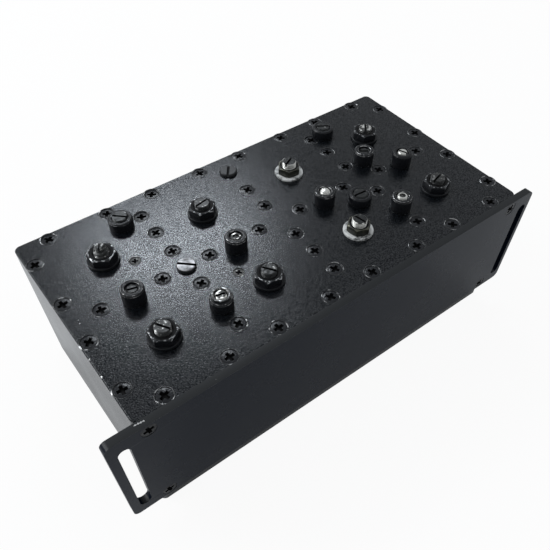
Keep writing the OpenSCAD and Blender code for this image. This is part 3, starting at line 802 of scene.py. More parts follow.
def set_down(name: str, mesh: Solid, materials: Sequence[bpy.types.Material],
             stands_for: Sequence[str] = (), body: str = "root", smooth: float = 30.0) -> None:
    """Makes a finished piece of the model.

    Args:
        name: The piece's name.
        mesh: Its mesh in place, which is used up.
        materials: The materials of its faces, in order.
        stands_for: The CAD nodes that it replaces.
        body: The CAD body that it rides on.
        smooth: Edges flatter than this angle are shaded smooth, in degrees.
    """
    piece = loose_object(name, mesh)
    for material in materials:
        piece.data.materials.append(material)
    piece.data.shade_smooth()
    piece.data.set_sharp_from_angle(angle=math.radians(smooth))
    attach(piece, body)
    if stands_for:
        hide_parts(*stands_for)
    log.info("%s: %d faces on %s", name, len(piece.data.polygons), body)


@dataclass(frozen=True)
class Layout:
    """Where everything sits, in millimetres from the housing's left front corner, as in the source.

    Attributes:
        length, width, top: Outer size of the housing with its lid.
        first_x, pitch: The columns of resonators.
        rows: The front and rear row of resonators.
        wall_y: The wall between the rows.
        shift: How far a cross wall stands past the middle of two columns.
        corner_inset, edge_inset: Lid screws from the lid's corners and edges.
        pair_offset: Paired lid screws from the wall between them.
        behind_row: Single wall screws behind their row of resonators.
        loop_reach: The small screws from the crossing of the walls.
        tee_inset: The rear slotted screw from the rear edge.
    """

    length: float = 180.0
    width: float = 93.0
    top: float = 61.5
    first_x: float = 24.6
    pitch: float = 43.4
    rows: Point = (22.9, 67.2)
    wall_y: float = 46.25
    shift: float = 1.2
    corner_inset: float = 12.9
    edge_inset: float = 3.3
    pair_offset: float = 10.1
    behind_row: float = 1.6
    loop_reach: float = 13.8
    tee_inset: float = 10.2

    def wall_x(self, index: int) -> float:
        """Returns the middle of a cross wall."""
        return self.first_x + (index + 0.5) * self.pitch + self.shift

    def part(self, x: float, y: float) -> Point:
        """Turns a place from the corner into the part's own frame."""
        return x - self.length / 2, y - self.width / 2

    def lid_screws(self) -> list[Point]:
        """Works out where the countersunk lid screws sit.

        Returns:
            Their places in the part's own frame.
        """
        xs = [self.corner_inset] + [self.wall_x(i) + s * self.pair_offset for i in range(3) for s in (-1, 1)]
        xs.append(self.length - self.corner_inset)
        ys = [self.corner_inset, self.wall_y - self.pair_offset, self.wall_y + self.pair_offset,
              self.width - self.corner_inset]
        places = [(x, y) for y in (self.edge_inset, self.wall_y, self.width - self.edge_inset) for x in xs]
        places += [(x, y) for x in (self.edge_inset, self.length - self.edge_inset) for y in ys]
        places += [(self.wall_x(i), ys[j]) for i in range(3) for j in range(4) if (i, j) != (1, 3)]
        places += [(self.wall_x(i), self.rows[1] + self.behind_row) for i in range(3)]
        places.append((self.wall_x(1), self.rows[0] + self.behind_row))
        return [self.part(x, y) for x, y in places]

    def loop_screws(self) -> list[Point]:
        """Returns the places of the two small countersunk screws."""
        return [self.part(self.wall_x(0) + s * self.loop_reach, self.wall_y - s * self.loop_reach) for s in (-1, 1)]

    def slotted_screws(self) -> list[Point]:
        """Returns the places of the two low slotted screws."""
        return [self.part(self.wall_x(0), self.wall_y), self.part(self.wall_x(1), self.width - self.tee_inset)]


@dataclass
class PaintedBox:
    """The housing, its lid and the hidden inner parts, which keep their CAD solids.

    Attributes:
        finishes: The finishes.
        nodes: The CAD nodes by name.
    """

    finishes: Finishes
    nodes: dict[str, bpy.types.Object]

    def build(self) -> None:
        """Gives each CAD node that is kept its finish."""
        gilt = ("transmit_tap", "antenna_tee", "receive_tap", "cross_loop", "cross_probe")
        kept = {"housing": "housing satin black", "lid": "lid textured black", "resonator_bolts": "plain steel",
                "probe_holder": "white fluoropolymer"}
        kept.update({node: "gilt brass" for node in gilt})
        kept.update({f"resonator_{number}": "silver plate" for number in CAVITIES})
        for node, finish in kept.items():
            piece = self.nodes[node]
            piece.data.materials.clear()
            piece.data.materials.append(self.finishes.get(finish)[0])
            log.info("%s: CAD solid in %s", node, finish)


@dataclass(frozen=True)
class SunkScrew:
    """A countersunk screw with a cross recess.

    Attributes:
        thread: Diameter of its thread.
        head: Diameter of its head.
        length: Overall length.
        sink: Depth of its face below the surface around it.
        across, arm: Size of the cross and of its arms, as shares of the head.
        heart: Size of the cone in the middle of the cross, as a share of the head.
        deep: Depth of the cross, as a share of the height of the head's cone.
        rim: Width of the rounded edges, as a share of the head.
    """

    thread: float
    head: float
    length: float
    sink: float = 0.15
    across: float = 0.74
    arm: float = 0.25
    heart: float = 0.36
    deep: float = 0.9
    rim: float = 0.06 / 5.8

    def pattern(self) -> Pattern:
        """Makes the screw, hanging from the surface at z = 0.

        Returns:
            The screw with its face, rims and recess as three materials, the recess in painted shade.
        """
        core, wide = self.thread / 2, self.head / 2
        taper, face = wide - core, -self.sink
        solid = turned(((0, -self.length), (core - 0.25, -self.length), (core, 0.3 - self.length), (core, face - taper),
                        (wide - 0.05, face - 0.12), (wide - 0.05, face - 0.03), (wide - 0.2, face + 0.02),
                        (0, face + 0.05)), 28)
        across, depth = self.head * self.across, taper * self.deep
        for angle in (0, 90):
            wing = block((across, self.head * self.arm, depth + 1), (0, 0, 0.5 - depth / 2 + face), 0.7)
            solid = carved(solid, moved(wing, seat(0, 0, 0, angle)))
        wide = self.head * self.heart / 2
        cone = turned(((0, face - depth), (wide * 0.4, face - depth), (wide, face + 0.1), (wide, 1), (0, 1)), 16)
        solid = rimmed(carved(solid, cone), self.rim * self.head, 38, 1)
        reach = across / 2
        # The cross recess is marked for the near-black painted shade.
        return Pattern(marked(solid, 2, lambda at, _: at.xy.length < reach and face - taper < at.z < face - 0.06))


@dataclass
class FrontPanel:
    """The plate in front, with an ear and an upright slot at each end.

    Attributes:
        finishes: The finishes.
        left, right: Ends of the plate, from the middle of the part.
        low, high: Its lower and upper edge.
        front, back: Its faces.
        corner: Radius of its corners.
        slots: Left side of each slot.
        slot_width, slot_length, slot_low: Size and height of the slots.
        screws: Places of the four screws that hold it.
        screw: Those screws.
        play: Play round them.
    """

    finishes: Finishes
    left: float = -101.5
    right: float = 96.8
    low: float = 10.5
    high: float = 62.2
    front: float = -49.7
    back: float = -46.5
    corner: float = 2.5
    slots: Point = (-98.2, 90.3)
    slot_width: float = 4.5
    slot_length: float = 41.6
    slot_low: float = 14.9
    screws: tuple[Point, ...] = ((-86.7, 13.6), (-86.7, 59.0), (83.2, 13.6), (83.2, 59.0))
    screw: SunkScrew = SunkScrew(3.0, 5.8, 8.3)
    play: float = 0.06

    def _plate(self) -> Solid:
        """Makes the plate with its slots and countersinks.

        Returns:
            The plate with its faces, rims and upper edge as three materials.
        """
        middle = ((self.left + self.right) / 2, (self.front + self.back) / 2, (self.low + self.high) / 2)
        body = plate(self.right - self.left, self.high - self.low, self.back - self.front, self.corner)
        body = moved(body, seat(*middle, tilt=90))
        for side in self.slots:
            tool = plate(self.slot_width, self.slot_length, 12.0, self.slot_width / 2 - 0.001, 10)
            place = seat(side + self.slot_width / 2, middle[1], self.slot_low + self.slot_length / 2, tilt=90)
            body = carved(body, moved(tool, place))
        hole, wide = self.screw.thread / 2 + self.play, self.screw.head / 2 + self.play
        foot = hole - wide - self.screw.sink
        for x, z in self.screws:
            sink = turned(((0, -6), (hole, -6), (hole, foot), (wide, -self.screw.sink), (wide, 3), (0, 3)), 32)
            body = carved(body, moved(sink, seat(x, self.front, z, tilt=90)))
        return marked(rimmed(body, 0.3, segments=3), 2, lambda _, normal: normal.z > UPWARD)

    def build(self) -> None:
        """Builds the plate and its screws and sets them down."""
        set_down("front_plate", self._plate(), self.finishes.get("panel satin black", "panel edge", "panel top"),
                 ["front_panel"], smooth=14)
        places = [seat(x, self.front, z, tilt=90) @ seat(0, 0, 0, 31.0 * x) for x, z in self.screws]
        set_down("panel_screw_set", self.screw.pattern().at(places),
                 self.finishes.get("painted nut", "painted nut", "painted shade"), ["panel_screws"])


@dataclass
class LidScrews:
    """The countersunk screws of the lid, with the raised paint around each.

    Attributes:
        finishes: The finishes.
        layout: Where the screws sit.
        large, small: The lid's own screws and the two that hold the loop.
        seed: Seed of the small differences between them.
    """

    finishes: Finishes
    layout: Layout
    large: SunkScrew = SunkScrew(3.0, 5.8, 12.0)
    small: SunkScrew = SunkScrew(2.0, 4.0, 9.0)
    seed: int = 11

    def _ridge(self, radius: float) -> Pattern:
        """Makes the ridge that paint leaves round a countersink."""
        return Pattern(turned(((radius, -0.3), (radius + 0.02, 0.02), (radius + 0.14, 0.1), (radius + 0.32, 0.1),
                               (radius + 0.55, -0.04)), 32, closed=True))

    def build(self) -> None:
        """Builds the screws and the paint ridges."""
        jitter = random.Random(self.seed)
        large, small = self.layout.lid_screws(), self.layout.loop_screws()
        top = self.layout.top

        def scattered(places: Sequence[Point], sunk: float, tilt: float) -> list[Matrix]:
            """Returns a seat at each place, each a little different."""
            return [seat(x, y, top - jitter.uniform(0, sunk), jitter.uniform(0, 360), jitter.uniform(-tilt, tilt))
                    for x, y in places]

        set_down("lid_screw_set", self.large.pattern().at(scattered(large, 0.1, 2.2)),
                 self.finishes.get("painted head", "worn rim", "painted shade"), ["lid_screws"])
        set_down("loop_screw_set", self.small.pattern().at(scattered(small, 0.05, 1.0)),
                 self.finishes.get("worn head", "worn rim", "painted shade"), ["loop_screws"])
        ridges = self._ridge(self.large.head / 2 + 0.05).at(scattered(large, 0.05, 1.3))
        ridges = self._ridge(self.small.head / 2 + 0.05).at(scattered(small, 0.05, 1.3), ridges)
        set_down("paint_ridges", ridges, self.finishes.get("paint ridge"), smooth=60)


@dataclass(frozen=True)
class LockNut:
    """A lock nut for a tuning screw, hexagonal with chamfered rims or plain round.

    Attributes:
        width: Width across its flats, or its diameter.
        height: Its height.
        bore: Diameter of its hole.
        round: Whether it is round.
        worn: Whether its rims are worn, where it is round.
        crown: Width of its flat upper face, as a share of the width across its flats.
    """

    width: float
    height: float = 3.2
    bore: float = 6.12
    round: bool = False
    worn: bool = True
    crown: float = 0.97

    def pattern(self) -> Pattern:
        """Makes the nut, standing on z = 0.

        Returns:
            The nut with its flanks, rims and crown as three materials, the crown round the bore in painted shade.
        """
        flat, hole, high = self.width / 2, self.bore / 2, self.height
        if self.round:
            ring = turned(((hole, 0), (flat, 0), (flat, high - 0.5), (flat - 0.5, high), (hole + 0.3, high),
                           (hole, high - 0.3)), 56, closed=True)
            ring = rimmed(ring, 0.12, 24, 2)
            return Pattern(ring if self.worn else marked(ring, 0, lambda *_: True))
        out = flat / math.cos(math.radians(30))
        slope = math.tan(math.radians(30))
        crown, past = flat * self.crown, out + 0.05
        ring = turned(((hole, 0.3), (hole + 0.3, 0), (flat, 0), (past, (past - flat) * slope),
                       (past, high - (past - crown) * slope), (crown, high), (crown - 0.25, high),
                       (hole + 0.3, high), (hole, high - 0.3)), 60, closed=True)
        prism = bmesh.new()
        bmesh.ops.create_cone(prism, cap_ends=True, cap_tris=False, segments=6, radius1=out * MM, radius2=out * MM,
                              depth=high * MM)
        moved(prism, seat(0, 0, high / 2, 30))
        nut = rimmed(carved(ring, prism, "INTERSECT"), 0.2, 24, 2)
        marked(nut, 1, lambda _, normal: normal.z > 0.3)
        marked(nut, 0, lambda at, _: at.z < high / 2)
        # The flat face round the bore is marked for painted shade, darker than the nut's paint.
        return Pattern(marked(nut, 2, lambda at, _: at.z > high / 2 and at.xy.length < crown - 0.25))


@dataclass(frozen=True)
class FlatWasher:
    """A flat washer with rounded rims.

    Attributes:
        outer, inner: Its diameters.
        thickness: Its thickness.
    """

    outer: float = 12.0
    inner: float = 6.4
    thickness: float = 1.0

    def pattern(self) -> Pattern:
        """Makes the washer, lying on z = 0.

        Returns:
            The washer with its faces and rims as two materials.
        """
        out, hole, high = self.outer / 2, self.inner / 2, self.thickness
        ring = turned(((hole, 0), (out, 0), (out, high), (hole, high)), 56, closed=True)
        return Pattern(rimmed(ring, 0.16, 40, 3))


@dataclass(frozen=True)
class Bush:
    """A threaded bush whose neck passes through the lid.

    Attributes:
        collar, height: Diameter and height of its collar.
        neck, bore: Diameters of its neck and of its thread.
        mouth, recess: Diameter and depth of the recess in its top.
        step: How far the outer part of the collar ends below its top.
        worn: Whether its rims are worn.
        lid: Thickness of the lid.
    """

    collar: float = 8.6
    height: float = 6.0
    neck: float = 6.0
    bore: float = 4.12
    mouth: float = 5.2
    recess: float = 1.2
    step: float = 0.0
    worn: bool = True
    lid: float = 5.0

    def pattern(self) -> Pattern:
        """Makes the bush, its collar standing on z = 0.

        Returns:
            The bush with its flank, rims and mouth as three materials.
        """
        out, neck, hole, lip, top = self.collar / 2, self.neck / 2, self.bore / 2, self.mouth / 2, self.height
        shoulder = top - self.step
        crown = [(out, shoulder - 0.6), (out - 0.45, shoulder)]
        if self.step:
            crown += [(lip + 0.75, shoulder), (lip + 0.75, top - 0.15), (lip + 0.6, top)]
        ring = turned([(hole, -self.lid), (neck, -self.lid), (neck, 0), (out, 0), *crown, (lip + 0.12, top),
                       (lip, top - 0.12), (lip, top - self.recess), (hole, top - self.recess)], 56, closed=True)
        ring = rimmed(ring, 0.16, 24, 2)
        if not self.worn:
            marked(ring, 0, lambda *_: True)
        if self.step:
            marked(ring, 1, lambda at, _: at.xy.length < lip + 0.8 and at.z > top - 0.3)
            marked(ring, 2, lambda at, _: at.xy.length < lip + 0.3 and at.z > shoulder + 0.1)
        return Pattern(ring)


@dataclass(frozen=True)
class LowScrew:
    """A low slotted screw.

    Attributes:
        thread, length: Radius and length of its thread.
        head, height: Radius and height of its head.
        slot, depth: Width and depth of its slot.
    """

    thread: float = 2.0
    length: float = 8.0
    head: float = 3.7
    height: float = 1.4
    slot: float = 1.1
    depth: float = 0.95

    def pattern(self, face: int) -> Pattern:
        """Makes the screw, its head on z = 0.

        Args:
            face: The place of its face's material in the piece's list.

        Returns:
            The screw with its flank, rims, slot in painted shade, and face.
        """
        top, floor, side = self.height, self.height - self.depth, self.slot / 2
        solid = turned(((0, -self.length), (self.thread - 0.2, -self.length), (self.thread, 0.3 - self.length),
                        (self.thread, 0), (self.head, 0), (self.head, top - 0.55), (self.head - 0.2, top - 0.15),
                        (self.head - 0.5, top - 0.02), (0, top)), 40)
        solid = rimmed(carved(solid, block((12, self.slot, 2), (0, 0, floor + 1))), 0.07, 38, 2)
        # The slot is marked for painted shade.
        marked(solid, 2, lambda at, _: abs(at.y) < side + 0.05 and floor - 0.05 < at.z < top - 0.1)
        return Pattern(marked(solid, face, lambda at, normal: at.z > top - 0.4 and normal.z > UPWARD
                              and abs(at.y) > side))


@dataclass
class LidHardware:
    """The nuts, washers, bushes and low slotted screws on the lid.

    Attributes:
        finishes: The finishes.
        layout: Where the lid is.
        nut, nickel_nut, round_nut: The lock nuts.
        washer: The washers.
        stepped_bush: The bush with a step.
        low_screw: The low slotted screws.
        nut_turns: The turn of each tuning screw's nut, by number.
        bright: The tuning screws whose nut and washer are bare.
        stepped: The coupling screws whose bush has a step.
        unworn: The coupling screws whose bush has kept its paint.
        low_turns: The turns of the low slotted screws.
    """

    finishes: Finishes
    layout: Layout
    nut: LockNut = LockNut(9.8)
    nickel_nut: LockNut = LockNut(8.6)
    round_nut: LockNut = LockNut(9.6, 3.9, round=True)
    washer: FlatWasher = FlatWasher()
    stepped_bush: Bush = Bush(step=1.3)
    low_screw: LowScrew = LowScrew()
    nut_turns: tuple[float, ...] = (30, 28, 48, 50, 52, 38, 20, 45)
    bright: tuple[int, ...] = (5, 6)
    stepped: tuple[int, ...] = (2,)
    unworn: tuple[int, ...] = (6,)
    low_turns: Point = (137, 52)

    def _on(self, node: str, turn: float = 0.0, lift: float = 0.0) -> Matrix:
        """Returns the seat on the lid round an adjusting screw."""
        low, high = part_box(node)
        return seat((low.x + high.x) / 2 / MM, (low.y + high.y) / 2 / MM, self.layout.top + lift, turn)

    def _nuts(self) -> None:
        """Builds the lock nuts with their washers."""
        nuts = {n: self._on(f"tuning_screw_{n}", self.nut_turns[n - 1], self.washer.thickness) for n in CAVITIES}
        flats = {n: self._on(f"tuning_screw_{n}") for n in CAVITIES}
        dark = [n for n in CAVITIES if n not in self.bright]
        whole = self.nut.pattern().at(nuts[n] for n in dark)
        whole = self.round_nut.pattern().at([self._on("transmit_screw")], whole)
        unworn = [self._on(node) for node in ("receive_screw", "probe_screw_far")]
        whole = replace(self.round_nut, worn=False).pattern().at(unworn, whole)
        set_down("dark_nuts", whole, self.finishes.get("painted nut", "worn crown", "painted shade"),
                 ["lock_nuts"], smooth=24)
        set_down("nickel_nuts", self.nickel_nut.pattern().at(nuts[n] for n in self.bright),
                 self.finishes.get("olive nickel", "olive edge", "painted shade"), ["bright_nuts"], smooth=24)
        pattern = self.washer.pattern()
        set_down("dark_washers", pattern.at(flats[n] for n in dark),
                 self.finishes.get("painted nut", "painted nut"), ["washers"])
        set_down("nickel_washers", pattern.at(flats[n] for n in self.bright),
                 self.finishes.get("satin zinc", "satin zinc"), ["bright_washers"])

    def _bushes(self) -> None:
        """Builds the round bushes of the coupling screws."""
        seats = {n: self._on(f"coupling_screw_{n}") for n in range(1, 7)}
        others = [seats[n] for n in seats if n not in self.stepped + self.unworn]
        whole = Bush().pattern().at([*others, self._on("probe_screw_near")])
        whole = Bush(worn=False).pattern().at((seats[n] for n in self.unworn), whole)
        whole = self.stepped_bush.pattern().at((seats[n] for n in self.stepped), whole)
        set_down("round_bushes", whole, self.finishes.get("painted nut", "worn rim", "patchy nickel"),
                 ["coupling_bushes"])

    def _slotted(self) -> None:
        """Builds the two low slotted screws, of which the first has a pale face, partly bare metal and partly a painted
        highlight.
        """
        whole = bmesh.new()
        for (x, y), turn, face in zip(self.layout.slotted_screws(), self.low_turns, (3, 0)):
            whole = self.low_screw.pattern(face).at([seat(x, y, self.layout.top, turn)], whole)
        set_down("low_slotted_screws", whole, self.finishes.get("smooth head", "worn rim", "painted shade", "bare head with painted highlight"),
                 ["slotted_screws"], smooth=18)

    def build(self) -> None:
        """Builds all of them."""
        self._nuts()
        self._bushes()
        self._slotted()


@dataclass(frozen=True)
class Rod:
    """The threaded rod of an adjusting screw, with its upper end at z = 0.

    Attributes:
        radius: Radius over its thread.
        length: Its length.
        tip: The shape of its upper end.
        slot, slot_depth: Width and depth of a slot.
        cup, cup_mouth: Radius of a hollow at its floor and above its mouth, as shares of the rod's.
        cup_depth: Depth of a hollow.
        dome: Height of a dome.
        broken: Length of a broken end.
        lost: Least and largest share of the radius that is gone at its top.
        jag: Most that a corner has sunk there.
        seed: Seed of those losses.
    """

    radius: float
    length: float
    tip: Tip
    slot: float = 0.9
    slot_depth: float = 1.3
    cup: float = 0.6
    cup_mouth: float = 0.66
    cup_depth: float = 0.7
    dome: float = 0.6
    broken: float = 3.2
    lost: Point = (0.34, 0.46)
    jag: float = 0.35
    seed: int = 5

    def _pitch(self) -> float:
        """Returns the pitch of its thread, twice as coarse where paint has filled the broken one."""
        pitch = COARSE_PITCH if self.radius > COARSE_FROM else FINE_PITCH
        return pitch * 2 if self.tip is Tip.BROKEN else pitch

    def _domed(self, rod: Solid, wide: float) -> Solid:
        """Puts a dome on a rod.

        Args:
            rod: The rod, which ends at the dome's foot.
            wide: Radius of the dome.

        Returns:
            The rod, with the dome as its end face.
        """
        foot = -self.dome
        dome = turned(((0, foot - 1), (wide, foot - 1), (wide, foot), (wide * 0.9, foot * 0.5),
                       (wide * 0.6, foot * 0.12), (0, 0)), 24)
        return marked(carved(rod, dome, "UNION"), 2, lambda at, _: at.z > foot - 0.02)

    def _opened(self, rod: Solid) -> Solid:
        """Cuts a slot or a hollow into the end of a rod.

        Args:
            rod: The rod.

        Returns:
            The rod with its flank, rims, end face and slot or hollow.
        """
        hollow = self.tip is Tip.HOLLOW
        if hollow:
            tool = turned(((0, -self.cup_depth), (self.radius * self.cup, -self.cup_depth),
                           (self.radius * self.cup_mouth, 1), (0, 1)), 24)
        else:
            tool = block((4 * self.radius, self.slot, 2 * self.slot_depth))
        rod = rimmed(carved(rod, tool), 0.1, 50, 1)
        marked(rod, 2, lambda at, normal: at.z > -0.1 and normal.z > UPWARD)
        inside, floor = self.radius * (0.7 if hollow else 1.0), -self.slot_depth - 0.1
        # The slot or hollow is marked; a slot is later given painted shade.
        return marked(rod, 3, lambda at, _: floor < at.z < -0.1 and at.xy.length < inside
                      and (hollow or abs(at.y) < self.slot / 2 + 0.05))

    def _break(self, rod: Solid) -> None:
        """Breaks the upper end of a rod, corner by corner."""
        chips = random.Random(self.seed)
        for corner in rod.verts:
            worn = max(0.0, 1 + corner.co.z / MM / self.broken)
            reach, sunk = 1 - worn * chips.uniform(*self.lost), worn * chips.uniform(0, self.jag) * MM
            corner.co = (corner.co.x * reach, corner.co.y * reach, corner.co.z - sunk)

    @cache
    def pattern(self) -> Pattern:
        """Makes the rod, once for all screws of its size and shape.

        Returns:
            The rod with its flank, rims, end face and slot as four materials.
        """
        end = -self.dome if self.tip is Tip.DOMED else 0.0
        depth = self._pitch() * THREAD_DEPTH
        rod = threaded(self.radius - 0.01, depth, self._pitch(), -self.length, end, 0.2)
        if self.tip is Tip.DOMED:
            return Pattern(self._domed(rod, self.radius - depth))
        rod = self._opened(rod)
        if self.tip is Tip.BROKEN:
            self._break(rod)
        return Pattern(tidied(rod))


@dataclass(frozen=True)
class Adjuster:
    """One adjusting screw, which turns on its own body.

    Attributes:
        node: Its CAD node and body.
        turn: Direction of its slot in degrees from the X axis.
        flank: What is left of the paint on its thread.
        end: What is left of the paint on its upper end.
        tip: The shape of its upper end.
    """

    node: str
    turn: float
    flank: Coat = Coat.PAINTED
    end: Coat = Coat.PAINTED
    tip: Tip = Tip.SLOTTED

    def build(self, finishes: Finishes) -> None:
        """Builds the screw from the size of its CAD solid.

        Args:
            finishes: The finishes.
        """
        low, high = (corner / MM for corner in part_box(self.node))
        rod = Rod(round((high.x - low.x) / 2, 1), round(high.z - low.z, 1), self.tip)
        mesh = rod.pattern().at([seat((low.x + high.x) / 2, (low.y + high.y) / 2, high.z, self.turn)])
        rim = "worn rim" if self.end in (Coat.PAINTED, Coat.WORN) else self.end.value
        # A slot is painted near black as shade; a hollow keeps worn paint.
        hole = "worn screw" if self.tip is Tip.HOLLOW else "painted shade"
        set_down(f"{self.node}_rod", mesh, finishes.get(self.flank.value, rim, self.end.value, hole),
                 [self.node], self.node, smooth=24)


ADJUSTERS = (
    Adjuster("tuning_screw_1", 60, Coat.WORN, Coat.WORN, Tip.BROKEN),
    Adjuster("tuning_screw_2", 121, Coat.WORN, Coat.WORN),
    Adjuster("tuning_screw_3", 123),
    Adjuster("tuning_screw_4", 10, end=Coat.WORN),
    Adjuster("tuning_screw_5", 25, Coat.BRIGHT),
    Adjuster("tuning_screw_6", 101, Coat.BRIGHT),
    Adjuster("tuning_screw_7", 15, Coat.WORN, Coat.WORN),
    Adjuster("tuning_screw_8", 49, Coat.WORN, Coat.PATCHY),
    Adjuster("coupling_screw_1", 165),
    Adjuster("coupling_screw_2", 167, Coat.BRIGHT, Coat.PATCHY),
    Adjuster("coupling_screw_3", 60, Coat.WORN, Coat.PATCHY, Tip.HOLLOW),
    Adjuster("coupling_screw_4", 100, Coat.BRIGHT, Coat.BRIGHT, Tip.DOMED),
    Adjuster("coupling_screw_5", 30, Coat.BRIGHT, Coat.BRIGHT, Tip.HOLLOW),
    Adjuster("coupling_screw_6", 113, Coat.BRIGHT, Coat.BRIGHT),
    Adjuster("transmit_screw", 137),
    Adjuster("receive_screw", 147),
    Adjuster("probe_screw_near", 144),
    Adjuster("probe_screw_far", 175),
)


@dataclass
class Jacks:
    """The three coaxial jacks on the rear face.

    Attributes:
        finishes: The finishes.
        ports: Name and place along X of each jack.
        rear: The housing's rear face.
        axis_z: Height of the jacks' axes.
        wall: Thickness of the rear wall.
        flange: Width of the square flange.
        thick: Thickness of the flange.
        screws: Distance between the flange screws.
        hole: Radius of their holes.
        reach: Length that a jack stands out from its flange.
        neck: Length of the neck between flange and thread.
        spigot, barrel: Radius in the wall and outside it.
        thread: Radius, depth and pitch of the thread.
        mouth, mouth_depth: Radius of the mouth, and its depth down to the insulator.
        bead, pin: Radius of the insulator and of the centre contact.
        play: Play round both.
        seed: Seed of the turns of the flange screws.
    """

    finishes: Finishes
    ports: dict[str, float] = field(default_factory=lambda: {"transmit": -51.1, "antenna": 0.9, "receive": 52.9})
    rear: float = 46.5
    axis_z: float = 30.0
    wall: float = 6.6
    flange: float = 25.4
    thick: float = 2.4
    screws: float = 18.26
    hole: float = 1.65
    reach: float = 16.2
    neck: float = 3.0
    spigot: float = 5.5
    barrel: float = 6.9
    thread: Place = (7.93, 0.6, 1.058)
    mouth: float = 4.05
    mouth_depth: float = 9.2
    bead: float = 3.5
    pin: float = 1.5
    play: float = 0.06
    seed: int = 3

    def _shell(self) -> Pattern:
        """Makes the flange, neck, thread and mouth as one solid.

        Returns:
            The shell, with its axis along Z.
        """
        tip, neck = self.thick + self.reach, self.thick + self.neck
        body = moved(plate(self.flange, self.flange, self.thick, 2.5, 6), seat(0, 0, self.thick / 2))
        for x, y in self._corners():
            hole = turned(((0, -2), (self.hole, -2), (self.hole, 5), (0, 5)), 24)
            body = carved(body, moved(hole, seat(x, y, 0)))
        barrel = turned(((0, -self.wall), (self.spigot, -self.wall), (self.spigot, 0), (self.barrel, 0.4),
                         (self.barrel, neck), (self.barrel, tip - 0.3), (self.barrel - 0.5, tip), (0, tip)), 56)
        body = carved(body, barrel, "UNION")
        body = carved(body, threaded(*self.thread, neck, tip, 1.0, 40), "UNION")
        mouth = turned(((0, tip - self.mouth_depth), (self.mouth, tip - self.mouth_depth), (self.mouth, tip - 0.5),
                        (self.mouth + 0.55, tip + 0.05), (self.mouth + 0.55, tip + 1), (0, tip + 1)), 48)
        wide = self.bead + self.play
        bore = turned(((0, -10), (wide, -10), (wide, tip - 8), (0, tip - 8)), 40)
        return Pattern(rimmed(carved(carved(body, mouth), bore), 0.1, 48, 1))

    def _corners(self) -> list[Point]:
        """Returns the places of the screws on a flange."""
        half = self.screws / 2
        return [(x, y) for x in (-half, half) for y in (-half, half)]

    def _bead(self) -> Pattern:
        """Makes the insulator with its shallow front groove.

        Returns:
            The insulator, with its axis along Z.
        """
        tip, hole = self.thick + self.reach - self.mouth_depth, self.pin + self.play
        ring = turned(((hole, -self.wall), (self.bead, -self.wall), (self.bead, tip), (2.9, tip), (2.75, tip - 0.4),
                       (2.2, tip - 0.4), (2.05, tip), (hole, tip)), 40, closed=True)
        return Pattern(rimmed(ring, 0.06, 30, 1))

    def _contact(self) -> Pattern:
        """Makes the centre contact with its slotted socket.

        Returns:
            The contact, with its axis along Z.
        """
        tip, foot = self.thick + self.reach - 2.4, -self.wall - 3.0
        pin = turned(((0, foot), (self.pin - 0.2, foot), (self.pin, foot + 0.2), (self.pin, tip - 0.5),
                      (self.pin - 0.3, tip), (1.0, tip), (0.85, tip - 0.25), (0.85, tip - 6), (0, tip - 6)), 32)
        for angle in (0, 90):
            pin = carved(pin, moved(block((5, 0.3, 6)), seat(0, 0, tip - 2, angle)))
        return Pattern(rimmed(pin, 0.04, 40, 1))

    def _screw(self) -> Pattern:
        """Makes one pan-head flange screw.

        Returns:
            The screw, its head on z = 0.
        """
        solid = turned(((0, -7.5), (1.3, -7.5), (1.5, -7.2), (1.5, 0), (2.9, 0), (2.9, 0.9), (2.5, 1.6),
                        (1.5, 1.95), (0, 2.0)), 32)
        for angle in (0, 90):
            solid = carved(solid, moved(block((3.2, 0.8, 2.4), (0, 0, 1.9), 0.7), seat(0, 0, 0, angle)))
        return Pattern(rimmed(solid, 0.06, 38, 1))

    def build(self) -> None:
        """Builds the jacks and their screws."""
        jitter = random.Random(self.seed)
        seats = {port: seat(x, self.rear, self.axis_z, tilt=-90) for port, x in self.ports.items()}
        kinds = (("shell", self._shell(), "white bronze", "jack_plating", "jack"),
                 ("bead", self._bead(), "white fluoropolymer", "fluoropolymer", "insulator"),
                 ("pin", self._contact(), "gilt brass", "gilt_brass", "contact"))
        for port, place in seats.items():
            for kind, pattern, finish, slot, node in kinds:
                set_down(f"{port}_{kind}", pattern.at([place]), self.finishes.get(finish, finish),
                         [f"{port}_{node}"], smooth=38)
        places = [place @ seat(x, y, self.thick, jitter.uniform(0, 90))
                  for place in seats.values() for x, y in self._corners()]
        set_down("flange_screws", self._screw().at(places), self.finishes.get("plain steel", "plain steel"),
                 ["jack_screws"])


@dataclass(frozen=True)
class Lamp:
    """A flat soft lamp: its place, target, width and height in metres, its power in watts and its colour."""

    name: str
    place: Place
    target: Place
    size: Point
    power: float
    colour: Colour = (1.0, 1.0, 1.0)

    def hang(self) -> None:
        """Hangs the lamp so that it faces its target."""
        data = bpy.data.lights.new(self.name, "AREA")
        data.shape, data.energy, data.color = "RECTANGLE", self.power, self.colour
        data.size, data.size_y = self.size
        lamp = linked(self.name, data)
        lamp.location = self.place
        lamp.rotation_euler = (Vector(self.place) - Vector(self.target)).to_track_quat("Z", "Y").to_euler()


